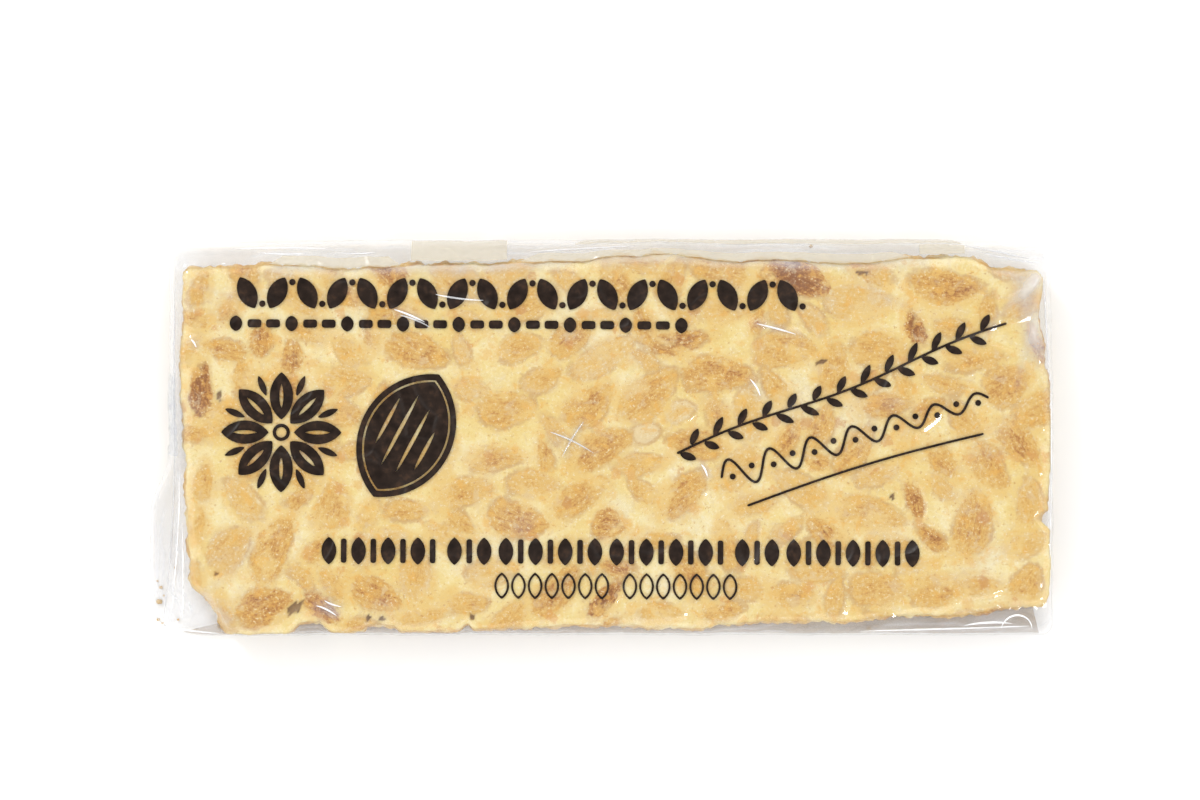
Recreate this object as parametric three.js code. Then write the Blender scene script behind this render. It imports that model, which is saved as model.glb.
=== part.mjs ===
// A slab of hard almond nougat in its clear, slightly loose sealed wrap, lying flat.
// Millimetres, +Z up. The origin is the middle of the footprint, on the table.
// Length runs along X, width along Y. The front is -Y and the back is +Y.
//
// The wrap and its contents are one closed solid: a flat base, film walls that lean in
// from a crease near the table to the slab's upper edge, and a top pressed over almonds.

import * as THREE from 'three';

// Driving dimensions of the nougat slab
const SLAB_LEFT = -96;
const SLAB_RIGHT = 102.4;
const SLAB_FRONT = -44;
const SLAB_BACK = 40.4;
const SLAB_THICKNESS = 16;
const SLAB_EDGE_RIPPLE = 0.35;
const EDGE_WAVELENGTH = 31;
const SLAB_EDGE_DROP = 1.1;
const SLAB_EDGE_ROUND = 3.2;

// Driving dimensions of the film wrap, at its crease
const FILM_LEFT = -100.2;
const FILM_RIGHT = 104.9;
const FILM_FRONT = -46;
const FILM_BACK = 45.85;
const FILM_EDGE_RIPPLE = 0.12;
const CREASE_UNDERCUT = 1.5;
const PLEAT_DEPTH = 0.45;
const PLEAT_LENGTH = 13;
const PLEAT_SEED = 41;

// The film wall from the slab's edge (out 0) to the crease (out 1), with its heights
// over most of the rim and over the loose tongue
const WALL_LEVELS = [
  { out: 0.5, height: 12.2, tongueHeight: 7.6 },
  { out: 0.9, height: 8.2, tongueHeight: 3.2 },
  { out: 1, height: 4, tongueHeight: 1.6 },
];

// The loose tongue of film at the left end, near the front corner
const TONGUE_REACH = 4.7;
const TONGUE_FROM = -52;
const TONGUE_TO = -4;

// The folded flap on each end wall
const FLAP_THICKNESS = 0.8;
const FLAP_HALF_TOP = 36;
const FLAP_HALF_BASE = 22;
const FLAP_SHOULDER = 1.5;
const END_WALL_MARGIN = 2;

// Almonds that show in the top face: middle x, middle y, length, width, turn in degrees
const LANDMARK_ALMONDS = [
  [79.6, 34.4, 17, 8, -5], [45.5, 36.8, 17.5, 9, -15], [59.6, 30.8, 16, 9, 0],
  [42.5, 20.6, 15, 8.5, 5], [64.6, 20.2, 15, 8, -5], [86.5, 18.3, 14, 6, 10],
  [93.7, 12.2, 11.5, 9.5, 30], [66, 7.3, 12.5, 6, 5], [27.1, 14.6, 17.5, 8.3, 0],
  [11.4, 9.8, 17.3, 8.8, 40], [-2.4, 7.3, 14, 8.3, 40], [-21.5, 6.3, 14.3, 8.3, 5],
  [-18.3, 21.1, 11, 6.5, 20], [17.9, 21.8, 15, 5.8, 10], [0.6, 18.2, 17.3, 7, 30],
  [-0.1, -2.4, 17.3, 8, 25], [-24.1, -4.9, 12, 5.8, 10], [-31.2, -12.4, 13.4, 7, 15],
  [-15.5, -10.5, 12.7, 6.5, 0], [-4.5, -13.5, 14.3, 7, 35], [-19.1, -19.4, 14.3, 8.3, -15],
  [89.7, -7, 12.7, 7.6, -60], [96.7, -1.5, 13.8, 7, -50], [62.1, -17.4, 16.6, 7.6, -10],
  [86.1, -19.9, 16, 9.2, 80], [64.2, -34.9, 14.3, 8, 0], [77.5, -35.4, 13.8, 7.6, 5],
  [-77.5, -39, 13.8, 8.8, 20], [-85.7, -25.5, 12.7, 8.8, 50], [-75.7, -25.4, 17.3, 8, 65],
  [-51.7, -36.5, 13.8, 7.4, -25], [-61.6, -15.6, 11.5, 8, 80], [-92.2, 11.2, 13.8, 5.5, 90],
  [-78.2, 22.7, 8.8, 5.8, 90], [-42.1, 19.7, 16, 8, -15], [-58.6, 12.8, 11.5, 7, 0],
];

// The other almonds are drawn by a seeded rule until the face is as crowded as it is here
const ALMOND_TRIES = 2600;
const DRAWS_PER_TRY = 6;
const FIRST_TRY_SEED = 100;
const ALMOND_MARGIN = 3;
const ALMOND_LENGTHS = [7.5, 16];
const ALMOND_SLENDERNESS = [0.42, 0.6];
const ALMOND_CLEARANCE = 1.04;
const ALMOND_LIFTS = [0.4, 0.8];
const ALMOND_SPREAD = 1.12;

// Mesh fineness
const CELLS_ALONG = 80;
const CELLS_ACROSS = 34;

const clamp = THREE.MathUtils.clamp;
const lerp = THREE.MathUtils.lerp;
const smooth = THREE.MathUtils.smoothstep;

// A repeatable random number from 0 to 1
function draw(index) {
  const wide = Math.sin(index * 12.9898 + 4.1414) * 43758.5453;
  return wide - Math.floor(wide);
}

function drawBetween([low, high], index) {
  return lerp(low, high, draw(index));
}

// Two overlaid waves, from -1 to 1, for edges that no one cut to a ruler
function ripple(place, wavelength, seed) {
  const slow = Math.sin(2 * Math.PI * (place / wavelength + draw(seed)));
  const quick = Math.sin(2 * Math.PI * (place / (0.37 * wavelength) + draw(seed + 1)));
  return 0.6 * slow + 0.4 * quick;
}

// One edge of an outline: a straight run that ripples, with swells of the form
// [from, to, shoulder, size], where a hollow has a swell that points inwards
function edge({ start, end, reach, swells = [], rippleSize, seed }) {
  return (place) => {
    let value = lerp(start, end, (place - reach[0]) / (reach[1] - reach[0]));
    for (const [from, to, shoulder, size] of swells) {
      value += size * smooth(place, from, from + shoulder) * (1 - smooth(place, to - shoulder, to));
    }
    return value + rippleSize * ripple(place, EDGE_WAVELENGTH, seed);
  };
}

const alongReach = [SLAB_LEFT, SLAB_RIGHT];
const acrossReach = [SLAB_FRONT, SLAB_BACK];

// The slab is a little skewed, and broken rather than cut at its corners
const slabOutline = {
  left: edge({ start: SLAB_LEFT + 1.2, end: SLAB_LEFT - 0.6, reach: acrossReach,
    swells: [[2, 30, 12, -0.7]], rippleSize: SLAB_EDGE_RIPPLE, seed: 11 }),
  right: edge({ start: SLAB_RIGHT + 0.4, end: SLAB_RIGHT - 0.9, reach: acrossReach,
    swells: [[-20, 24, 14, 1.3], [-30, -17, 6, -1.1], [22, 37, 6, -1.1]],
    rippleSize: SLAB_EDGE_RIPPLE, seed: 13 }),
  front: edge({ start: SLAB_FRONT - 1.9, end: SLAB_FRONT + 3.4, reach: alongReach,
    swells: [[-18, 4, 8, 1.2], [2, 20, 8, -1], [86, 110, 8, 2.2]],
    rippleSize: SLAB_EDGE_RIPPLE, seed: 17 }),
  back: edge({ start: SLAB_BACK - 1.4, end: SLAB_BACK + 1.1, reach: alongReach,
    swells: [[-72, -36, 14, -0.9], [-8, 26, 12, 1.1], [84, 120, 10, -2.9]],
    rippleSize: SLAB_EDGE_RIPPLE, seed: 19 }),
  radii: { leftFront: 11, rightFront: 4, leftBack: 4, rightBack: 2.5 },
};

const filmOutline = {
  left: edge({ start: FILM_LEFT, end: FILM_LEFT, reach: acrossReach,
    swells: [[TONGUE_FROM, TONGUE_TO, 14, -TONGUE_REACH]], rippleSize: FILM_EDGE_RIPPLE, seed: 23 }),
  right: edge({ start: FILM_RIGHT + 0.2, end: FILM_RIGHT - 0.2, reach: acrossReach,
    rippleSize: FILM_EDGE_RIPPLE, seed: 29 }),
  front: edge({ start: FILM_FRONT, end: FILM_FRONT, reach: alongReach,
    rippleSize: FILM_EDGE_RIPPLE, seed: 31 }),
  back: edge({ start: FILM_BACK - 0.6, end: FILM_BACK - 0.3, reach: alongReach,
    swells: [[-84, 88, 20, 0.5]], rippleSize: FILM_EDGE_RIPPLE, seed: 37 }),
  radii: { leftFront: 7, rightFront: 2.5, leftBack: 3.5, rightBack: 3 },
};

// Rounds a square corner: the square from the arc's centre to the corner maps to a quarter disc
function roundCorner(x, y, radii) {
  const atLeft = x < 0;
  const atFront = y < 0;
  const radius = radii[(atLeft ? 'left' : 'right') + (atFront ? 'Front' : 'Back')];
  const cornerX = atLeft ? SLAB_LEFT : SLAB_RIGHT;
  const cornerY = atFront ? SLAB_FRONT : SLAB_BACK;
  const towardsX = Math.sign(cornerX);
  const towardsY = Math.sign(cornerY);
  const a = 1 - (cornerX - x) * towardsX / radius;
  const b = 1 - (cornerY - y) * towardsY / radius;
  if (a <= 0 || b <= 0) {
    return [x, y];
  }
  const pulledA = a * Math.sqrt(1 - b * b / 2);
  const pulledB = b * Math.sqrt(1 - a * a / 2);
  return [
    cornerX - (1 - pulledA) * radius * towardsX,
    cornerY - (1 - pulledB) * radius * towardsY,
  ];
}

// Carries a point of the unit square into an outline
function placeInOutline(outline, u, v) {
  const plainX = lerp(SLAB_LEFT, SLAB_RIGHT, u);
  const plainY = lerp(SLAB_FRONT, SLAB_BACK, v);
  const [x, y] = roundCorner(plainX, plainY, outline.radii);
  const along = (x - SLAB_LEFT) / (SLAB_RIGHT - SLAB_LEFT);
  const across = (y - SLAB_FRONT) / (SLAB_BACK - SLAB_FRONT);
  return [
    lerp(outline.left(y), outline.right(y), along),
    lerp(outline.front(x), outline.back(x), across),
  ];
}

function makeAlmond([x, y, length, width, turn], seed) {
  const angle = THREE.MathUtils.degToRad(turn);
  return {
    x,
    y,
    halfLength: length / 2,
    halfWidth: width / 2,
    cos: Math.cos(angle),
    sin: Math.sin(angle),
    lift: drawBetween(ALMOND_LIFTS, seed),
  };
}

// How far an almond's rim is from its middle in the direction of an angle
function rimDistance(almond, dx, dy) {
  const distance = Math.hypot(dx, dy) || 1;
  const along = (dx * almond.cos + dy * almond.sin) / distance;
  const across = (dy * almond.cos - dx * almond.sin) / distance;
  return 1 / Math.hypot(along / almond.halfLength, across / almond.halfWidth);
}

function isClear(candidate, almonds) {
  return almonds.every((other) => {
    const dx = other.x - candidate.x;
    const dy = other.y - candidate.y;
    const needed = rimDistance(candidate, dx, dy) + rimDistance(other, dx, dy);
    return Math.hypot(dx, dy) > ALMOND_CLEARANCE * needed;
  });
}

function scatterAlmonds() {
  const almonds = LANDMARK_ALMONDS.map((row, index) => makeAlmond(row, index));
  for (let attempt = 0; attempt < ALMOND_TRIES; attempt += 1) {
    const seed = FIRST_TRY_SEED + attempt * DRAWS_PER_TRY;
    const x = drawBetween([SLAB_LEFT + ALMOND_MARGIN, SLAB_RIGHT - ALMOND_MARGIN], seed);
    const y = drawBetween([SLAB_FRONT + ALMOND_MARGIN, SLAB_BACK - ALMOND_MARGIN], seed + 1);
    // Large almonds are placed first, and what room is left goes to smaller ones
    const largest = lerp(ALMOND_LENGTHS[1], ALMOND_LENGTHS[0], attempt / ALMOND_TRIES);
    const length = lerp(ALMOND_LENGTHS[0], largest, Math.sqrt(draw(seed + 2)));
    const width = length * drawBetween(ALMOND_SLENDERNESS, seed + 3);
    const candidate = makeAlmond([x, y, length, width, 180 * draw(seed + 4)], seed + 5);
    if (isClear(candidate, almonds)) {
      almonds.push(candidate);
    }
  }
  return almonds;
}

// Height that the almond under a point adds: a low dome that fades just past the rim
function almondLift(almonds, x, y) {
  let lift = 0;
  for (const almond of almonds) {
    const dx = x - almond.x;
    const dy = y - almond.y;
    const along = (dx * almond.cos + dy * almond.sin) / (almond.halfLength * ALMOND_SPREAD);
    const across = (dy * almond.cos - dx * almond.sin) / (almond.halfWidth * ALMOND_SPREAD);
    const inside = 1 - along * along - across * across;
    if (inside > 0) {
      lift = Math.max(lift, almond.lift * Math.sqrt(inside));
    }
  }
  return lift;
}

function topHeight(almonds, x, y, edgeDistance) {
  const level = SLAB_THICKNESS - ALMOND_LIFTS[1];
  const nearEdge = clamp(1 - edgeDistance / SLAB_EDGE_ROUND, 0, 1);
  return level + almondLift(almonds, x, y) * (1 - 0.5 * nearEdge) - SLAB_EDGE_DROP * nearEdge * nearEdge;
}

// How far the folded flap of an end wall stands proud, inside a trapezium that narrows downwards
function flapProud(x, y, height) {
  const isEndWall = x < SLAB_LEFT + END_WALL_MARGIN || x > SLAB_RIGHT - END_WALL_MARGIN;
  if (!isEndWall) {
    return 0;
  }
  const half = lerp(FLAP_HALF_BASE, FLAP_HALF_TOP, height / SLAB_THICKNESS);
  return FLAP_THICKNESS * (1 - smooth(Math.abs(y), half - FLAP_SHOULDER, half + FLAP_SHOULDER));
}

// A point of the film wall below one point of the slab's edge
function wallPoint(level, slabEdge, filmEdge, rimPlace) {
  const gapX = filmEdge[0] - slabEdge[0];
  const gapY = filmEdge[1] - slabEdge[1];
  const gap = Math.hypot(gapX, gapY);
  const isTongue = clamp((FILM_LEFT - filmEdge[0]) / TONGUE_REACH, 0, 1);
  const height = lerp(level.height, level.tongueHeight, isTongue);
  const folds = PLEAT_DEPTH * ripple(rimPlace, PLEAT_LENGTH, PLEAT_SEED) + flapProud(...slabEdge, height);
  const outward = level.out * gap + (1 - level.out) * folds;
  return [slabEdge[0] + (gapX / gap) * outward, slabEdge[1] + (gapY / gap) * outward, height];
}

// A point of the base, tucked in under the crease
function basePoint(slabEdge, filmEdge) {
  const gapX = filmEdge[0] - slabEdge[0];
  const gapY = filmEdge[1] - slabEdge[1];
  const kept = 1 - Math.min(CREASE_UNDERCUT / Math.hypot(gapX, gapY), 0.6);
  return [slabEdge[0] + gapX * kept, slabEdge[1] + gapY * kept, 0];
}

// Grid points round the rim of the top, counter-clockwise from the front left corner
function rimOrder() {
  const order = [];
  for (let i = 0; i < CELLS_ALONG; i += 1) order.push([i, 0]);
  for (let j = 0; j < CELLS_ACROSS; j += 1) order.push([CELLS_ALONG, j]);
  for (let i = CELLS_ALONG; i > 0; i -= 1) order.push([i, CELLS_ACROSS]);
  for (let j = CELLS_ACROSS; j > 0; j -= 1) order.push([0, j]);
  return order;
}

// The top, as a grid of points laid into the slab's outline
function topPoints(almonds) {
  const points = [];
  for (let j = 0; j <= CELLS_ACROSS; j += 1) {
    for (let i = 0; i <= CELLS_ALONG; i += 1) {
      const u = i / CELLS_ALONG;
      const v = j / CELLS_ACROSS;
      const [x, y] = placeInOutline(slabOutline, u, v);
      const fromEnds = Math.min(u, 1 - u) * (SLAB_RIGHT - SLAB_LEFT);
      const fromSides = Math.min(v, 1 - v) * (SLAB_BACK - SLAB_FRONT);
      points.push([x, y, topHeight(almonds, x, y, Math.min(fromEnds, fromSides))]);
    }
  }
  return points;
}

function gridIndex(i, j) {
  return j * (CELLS_ALONG + 1) + i;
}

function topFaces() {
  const faces = [];
  for (let j = 0; j < CELLS_ACROSS; j += 1) {
    for (let i = 0; i < CELLS_ALONG; i += 1) {
      const corner = gridIndex(i, j);
      const opposite = gridIndex(i + 1, j + 1);
      faces.push([corner, gridIndex(i + 1, j), opposite]);
      faces.push([corner, opposite, gridIndex(i, j + 1)]);
    }
  }
  return faces;
}

// Joins one closed loop of points to the loop below it
function bandFaces(upper, lower) {
  const faces = [];
  upper.forEach((point, index) => {
    const next = (index + 1) % upper.length;
    faces.push([point, lower[index], lower[next]]);
    faces.push([point, lower[next], upper[next]]);
  });
  return faces;
}

function baseFaces(loop, points) {
  const flat = loop.map((index) => new THREE.Vector2(points[index][0], points[index][1]));
  return THREE.ShapeUtils.triangulateShape(flat, []).map(([a, b, c]) => [loop[a], loop[c], loop[b]]);
}

function buildWrappedSlab() {
  const points = topPoints(scatterAlmonds());
  const faces = topFaces();
  const rim = rimOrder();
  const slabEdges = rim.map(([i, j]) => points[gridIndex(i, j)].slice(0, 2));
  const filmEdges = rim.map(([i, j]) => placeInOutline(filmOutline, i / CELLS_ALONG, j / CELLS_ACROSS));

  const addLoop = (makePoint) => slabEdges.map((slabEdge, index) => {
    points.push(makePoint(slabEdge, filmEdges[index], index * (SLAB_RIGHT - SLAB_LEFT) / CELLS_ALONG));
    return points.length - 1;
  });
  const loops = [rim.map(([i, j]) => gridIndex(i, j))];
  for (const level of WALL_LEVELS) {
    loops.push(addLoop((slabEdge, filmEdge, rimPlace) => wallPoint(level, slabEdge, filmEdge, rimPlace)));
  }
  loops.push(addLoop(basePoint));
  for (let index = 1; index < loops.length; index += 1) {
    faces.push(...bandFaces(loops[index - 1], loops[index]));
  }
  faces.push(...baseFaces(loops.at(-1), points));

  const geometry = new THREE.BufferGeometry();
  geometry.setAttribute('position', new THREE.Float32BufferAttribute(points.flat(), 3));
  geometry.setIndex(faces.flat());
  geometry.computeVertexNormals();
  return geometry;
}

const nougat = new THREE.MeshStandardMaterial({ color: 0xe6c88b, roughness: 0.4, metalness: 0 });
const wrappedSlab = new THREE.Mesh(buildWrappedSlab(), nougat);
wrappedSlab.name = 'wrapped_nougat_slab';

const part = new THREE.Group();
part.add(wrappedSlab);

export default part;
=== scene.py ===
"""A slab of hard almond nougat in its clear, printed, slightly loose wrap, seen from straight above.

Lengths in this script are millimetres in the row frame, and MM turns them into Blender's metres.
The wrapped slab of the frame is replaced by the nougat itself, the film round it, the folds and
patches of the film, the print on it and a few crumbs.
"""

import math

import bmesh
import bpy
import numpy as np
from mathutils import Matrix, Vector


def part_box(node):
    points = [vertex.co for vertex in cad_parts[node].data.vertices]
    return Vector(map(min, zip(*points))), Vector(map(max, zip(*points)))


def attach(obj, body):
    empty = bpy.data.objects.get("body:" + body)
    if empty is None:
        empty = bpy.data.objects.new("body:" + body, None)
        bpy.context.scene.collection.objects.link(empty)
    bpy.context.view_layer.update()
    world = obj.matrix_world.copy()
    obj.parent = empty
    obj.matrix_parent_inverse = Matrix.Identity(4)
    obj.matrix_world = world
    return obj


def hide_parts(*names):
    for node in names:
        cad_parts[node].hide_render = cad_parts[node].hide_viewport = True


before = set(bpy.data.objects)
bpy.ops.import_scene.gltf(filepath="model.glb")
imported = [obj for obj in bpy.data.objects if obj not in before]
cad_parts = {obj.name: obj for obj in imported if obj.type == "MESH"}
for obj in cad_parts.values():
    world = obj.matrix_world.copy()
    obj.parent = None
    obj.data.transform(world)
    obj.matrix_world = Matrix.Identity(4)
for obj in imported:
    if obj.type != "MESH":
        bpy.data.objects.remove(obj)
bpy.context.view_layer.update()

MM = 0.001
NODE = "wrapped_nougat_slab"
BODY = "root"
LOW, HIGH = (np.array(corner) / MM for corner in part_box(NODE))

# The slab, inside the wrap
SLAB_LEFT = -96.3
SLAB_RIGHT = 102.9
SLAB_FRONT = -44.4
SLAB_BACK = 40.7
SLAB_LENGTH = SLAB_RIGHT - SLAB_LEFT
SLAB_WIDTH = SLAB_BACK - SLAB_FRONT
ALONG = (SLAB_LEFT, SLAB_RIGHT)
ACROSS = (SLAB_FRONT, SLAB_BACK)
EDGE_WAVELENGTH = 31.0
RAGGED_WAVELENGTH = 5.9
RAGGED_SHARE = 0.35
SLAB_EDGE_RIPPLE = 0.35
SLAB_EDGE_DROP = 0.35
SLAB_EDGE_ROUNDS = (1.2, 3.6)
SLAB_CLEAR = 0.3
SLAB_FOOT = 1.2
END_PULL = 20.0
BASE_INSET = 0.012

# The wrap, at its crease, from the frame's box
FILM_LEFT = LOW[0] + 4.8
FILM_RIGHT = HIGH[0] - 0.2
FILM_FRONT = LOW[1] + 0.12
FILM_BACK = HIGH[1] - 0.23
FILM_EDGE_RIPPLE = 0.12
FILM_TOP = HIGH[2]
FILM_BASE = 0.1
FILM_SLACK = 0.45
CREASE_HEIGHT = 4.0
CREASE_UNDERCUT = 1.5
MOST_TUCK = 0.6
ROOMY_GAP = 3.0
TONGUE_REACH = 4.7
TONGUE_FROM = -52.0
TONGUE_TO = -4.0
TONGUE_HEIGHT = 1.6
TONGUE_CURVE = 1.2

# Almonds that show in the top face: middle x, middle y, length, width, turn in degrees, and
# toasting from 0, pale, to 1, dark brown
LANDMARK_ALMONDS = [
    (79.6, 34.4, 17.0, 8.0, -5, 0.62), (45.5, 36.8, 17.5, 9.0, -15, 0.85),
    (59.6, 30.8, 16.0, 9.0, 0, 0.3), (42.5, 20.6, 15.0, 8.5, 5, 0.5),
    (64.6, 20.2, 15.0, 8.0, -5, 0.45), (86.5, 18.3, 14.0, 6.0, 10, 0.5),
    (93.7, 12.2, 11.5, 9.5, 30, 0.55), (66.0, 7.3, 12.5, 6.0, 5, 0.6),
    (27.1, 14.6, 17.5, 8.3, 0, 0.6), (11.4, 9.8, 17.3, 8.8, 40, 0.5),
    (-2.4, 7.3, 14.0, 8.3, 40, 0.55), (-21.5, 6.3, 14.3, 8.3, 5, 0.5),
    (-18.3, 21.1, 11.0, 6.5, 20, 0.45), (17.9, 21.8, 15.0, 5.8, 10, 0.8),
    (0.6, 18.2, 17.3, 7.0, 30, 0.3), (-0.1, -2.4, 17.3, 8.0, 25, 0.6),
    (-24.1, -4.9, 12.0, 5.8, 10, 0.5), (-31.2, -12.4, 13.4, 7.0, 15, 0.45),
    (-15.5, -10.5, 12.7, 6.5, 0, 0.4), (-4.5, -13.5, 14.3, 7.0, 35, 0.55),
    (-19.1, -19.4, 14.3, 8.3, -15, 0.6), (89.7, -7.0, 12.7, 7.6, -60, 0.55),
    (96.7, -1.5, 13.8, 7.0, -50, 0.6), (62.1, -17.4, 16.6, 7.6, -10, 0.5),
    (86.1, -19.9, 16.0, 9.2, 80, 0.55), (64.2, -34.9, 14.3, 8.0, 0, 0.45),
    (77.5, -35.4, 13.8, 7.6, 5, 0.5), (-77.5, -39.0, 13.8, 8.8, 20, 0.68),
    (-85.7, -25.5, 12.7, 8.8, 50, 0.4), (-75.7, -25.4, 17.3, 8.0, 65, 0.6),
    (-51.7, -36.5, 13.8, 7.4, -25, 0.62), (-61.6, -15.6, 11.5, 8.0, 80, 0.5),
    (-92.2, 11.2, 13.8, 5.5, 90, 0.95), (-78.2, 22.7, 8.8, 5.8, 90, 0.7),
    (-42.1, 19.7, 16.0, 8.0, -15, 0.6), (-58.6, 12.8, 11.5, 7.0, 0, 0.45),
    (82.1, 25.2, 10.4, 4.6, 0, 0.5), (-29.6, 11.2, 7.8, 5.5, 0, 0.4),
    (-13.5, 13.2, 10.4, 5.8, 25, 0.45), (18.5, 6.1, 7.4, 5.1, 20, 0.15),
    (10.7, 1.0, 7.4, 5.1, 10, 0.0), (2.0, -19.9, 8.1, 7.2, 0, 0.7),
    (-31.9, -19.5, 8.1, 4.1, -40, 0.55), (79.1, -5.6, 10.4, 5.5, -50, 0.6),
    (72.7, -15.1, 9.7, 3.9, -75, 0.85), (99.2, -14.4, 11.5, 6.5, 90, 0.4),
    (78.7, -11.9, 8.1, 4.1, -50, 0.45), (43.2, -21.5, 8.8, 4.1, 35, 0.5),
    (50.6, -31.0, 11.5, 5.1, 0, 0.45), (44.1, -36.5, 11.5, 5.8, 0, 0.5),
    (87.7, -34.2, 10.4, 4.6, 0, 0.45), (98.6, -33.5, 9.6, 7.6, 60, 0.5),
    (98.8, -24.6, 9.2, 6.0, 20, 0.4), (13.9, -40.0, 10.0, 4.5, 0, 0.5),
    (28.5, -40.0, 10.0, 4.5, 10, 0.55), (-30.5, -38.4, 10.0, 5.0, 0, 0.5),
    (-64.2, -39.5, 10.4, 5.1, -40, 0.85), (-68.5, -32.4, 9.0, 4.0, -45, 0.5),
    (-41.1, -41.2, 11.5, 4.0, 10, 0.5), (-45.0, -16.9, 10.4, 5.1, 0, 0.5),
    (-53.1, -17.4, 8.1, 4.6, 60, 0.45), (-71.1, 18.8, 8.1, 5.1, 90, 0.75),
    (-92.4, 34.6, 9.0, 4.4, 70, 0.55), (-85.2, 30.4, 8.4, 4.2, 60, 0.6),
    (-91.6, -10.4, 8.6, 5.0, 80, 0.5), (-93.0, -19.6, 8.0, 4.2, 85, 0.55),
]
# Small gaps in the top face: middle x, middle y, half length, half width, turn in degrees, depth
PITS = [
    (51.0, 17.4, 1.6, 0.5, 20, 0.9), (-87.9, 9.6, 0.6, 1.3, 0, 0.9), (67.4, -13.7, 0.6, 0.9, 20, 0.9),
    (60.3, 38.0, 1.5, 0.5, 0, 0.8), (-70.6, -39.4, 2.2, 1.1, 35, 0.9), (-53.6, -41.7, 0.8, 0.5, 60, 0.9),
    (-50.4, -41.8, 0.8, 0.5, -40, 0.9), (-29.6, -41.6, 0.5, 0.8, 20, 0.9), (-88.5, -31.5, 0.7, 0.5, 0, 0.7),
]
PIT_RIM = (0.6, 1.25)

# The almonds that fill the room left, in the top face, the sides and the base
TOP_TRIES = 2600
TOP_SEED = 100
SIDE_TRIES = 900
SIDE_SEED = 30000
BASE_TRIES = 1500
BASE_SEED = 60000
DRAWS_PER_TRY = 6
ALMOND_MARGIN = 0.5
ALMOND_LENGTHS = (7.5, 16.0)
ALMOND_SLENDERNESS = (0.42, 0.6)
ALMOND_CLEARANCE = 1.04
ALMOND_FAR = 1.1
ALMOND_TONES = (0.3, 0.65)
ALMOND_DARKER = 0.3
ALMOND_DARK_FROM = 0.92
# An almond's form: dome, taper to one end, bend, and how far from its middle it can reach
ALMOND_LIFTS = (0.4, 0.8)
ALMOND_TAPER = 0.25
ALMOND_LEAST_WIDTH = 0.4
ALMOND_BEND = 0.5
ALMOND_REACH = 3.2
FAR_OUTSIDE = -9.0
GRAIN_SHIFT = 40.0
FILM_SPREAD = 1.3
FILM_DOMING = 0.4

# Mesh fineness: cells along and across the top face, and across the base, which is coarser
BASE_SHARE = 4
BASE_CELLS = (90, 38)
TOP_CELLS = tuple(BASE_SHARE * cells for cells in BASE_CELLS)
SLAB_WALL_ROWS = 16
FILM_WALL_ROWS = 26
FILM_TUCK_ROWS = 4

# The photograph's frame: pixels to the millimetre on the top face, and the picture's size
PIXELS_PER_MM = 4.34
IMAGE_WIDTH = 1200
VIEW_MIDDLE = (-0.12, 8.64)
CAMERA_HEIGHT = 1200.0
SENSOR_WIDTH = 36.0

# Waves in a surface: share of X, share of Y, wavelength, seed and size
SLACK_WAVES = [(1, 0.4, 47, 51, 0.09), (-0.3, 1, 23, 53, 0.07)]
CRUMBLE_WAVES = [(1, 0.7, 3.1, 61, 0.06), (-0.6, 1, 2.3, 63, 0.06)]
PIT_WAVES = [(1, 1, 1.7, 91, 0.25), (1, -1, 1.3, 93, 0.25)]
# The same for the slab's sides, with shares of the way round and of the height
BROKEN_WAVES = [(1, 2, 5.3, 71, 0.25), (1, -3, 2.1, 73, 0.12)]
# Waves that let the top edge's rounding come and go: wavelength and seed
EDGE_ROUND_WAVES = [(19, 57), (27, 59)]
# The slab's sides: rows crowd at the top, almonds of the top face reach down, and how far the
# side stands out of the rim, which is more at the back
SIDE_CROWDING = 1.25
TOP_REACH_DOWN = 9.0
SIDE_TOAST = 0.12
# Almonds on the back side are painted paler: painted light that lifts the shade on the back edge
BACK_PAINTED_PALER = 0.3
SIDE_SWELL = 0.5
SIDE_SWELL_RIPPLE = 0.35
SIDE_SWELL_WAVE = (8.3, 79)
ALMOND_PROUD = 0.5
ALMOND_GROOVE = 0.3
ALMOND_GROOVE_WIDTH = 0.6
BACK_PROUD = 0.25
# Shares of the way down a side at which it has swelled, its relief is full and its foot starts
SWELLED_AT = 0.15
RELIEF_AT = 0.2
FOOT_AT = 0.85
# The groove round each almond in the top face
TOP_GROOVE = 0.12
TOP_GROOVE_WIDTH = 0.45
# A ripple is a slow wave and a quick one: their shares, and the quick one's shorter wavelength
RIPPLE_SHARES = (0.6, 0.4)
RIPPLE_QUICK = 0.37


# Repeatable random numbers and waves
def draw(index):
    """A repeatable random number from 0 to 1 for each whole number."""
    step, start, size = 12.9898, 4.1414, 43758.5453
    wide = np.sin(np.asarray(index, float) * step + start) * size
    return wide - np.floor(wide)


def draw_between(span, index):
    return span[0] + (span[1] - span[0]) * draw(index)


def ripple(place, wavelength, seed):
    slow = np.sin(2 * np.pi * (place / wavelength + draw(seed)))
    quick = np.sin(2 * np.pi * (place / (RIPPLE_QUICK * wavelength) + draw(seed + 1)))
    return RIPPLE_SHARES[0] * slow + RIPPLE_SHARES[1] * quick


def summed_waves(waves, x, y):
    return sum(size * ripple(share_x * x + share_y * y, wavelength, seed)
               for share_x, share_y, wavelength, seed, size in waves)


def smooth(value, start, end):
    t = np.clip((value - start) / (end - start), 0, 1)
    return t * t * (3 - 2 * t)


def mixed(a, b, share):
    return a + (b - a) * share


def ridge(distance, width):
    return np.exp(-(distance / width) ** 2)


def turned(x, y, angle):
    return x * math.cos(angle) + y * math.sin(angle), y * math.cos(angle) - x * math.sin(angle)


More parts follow.
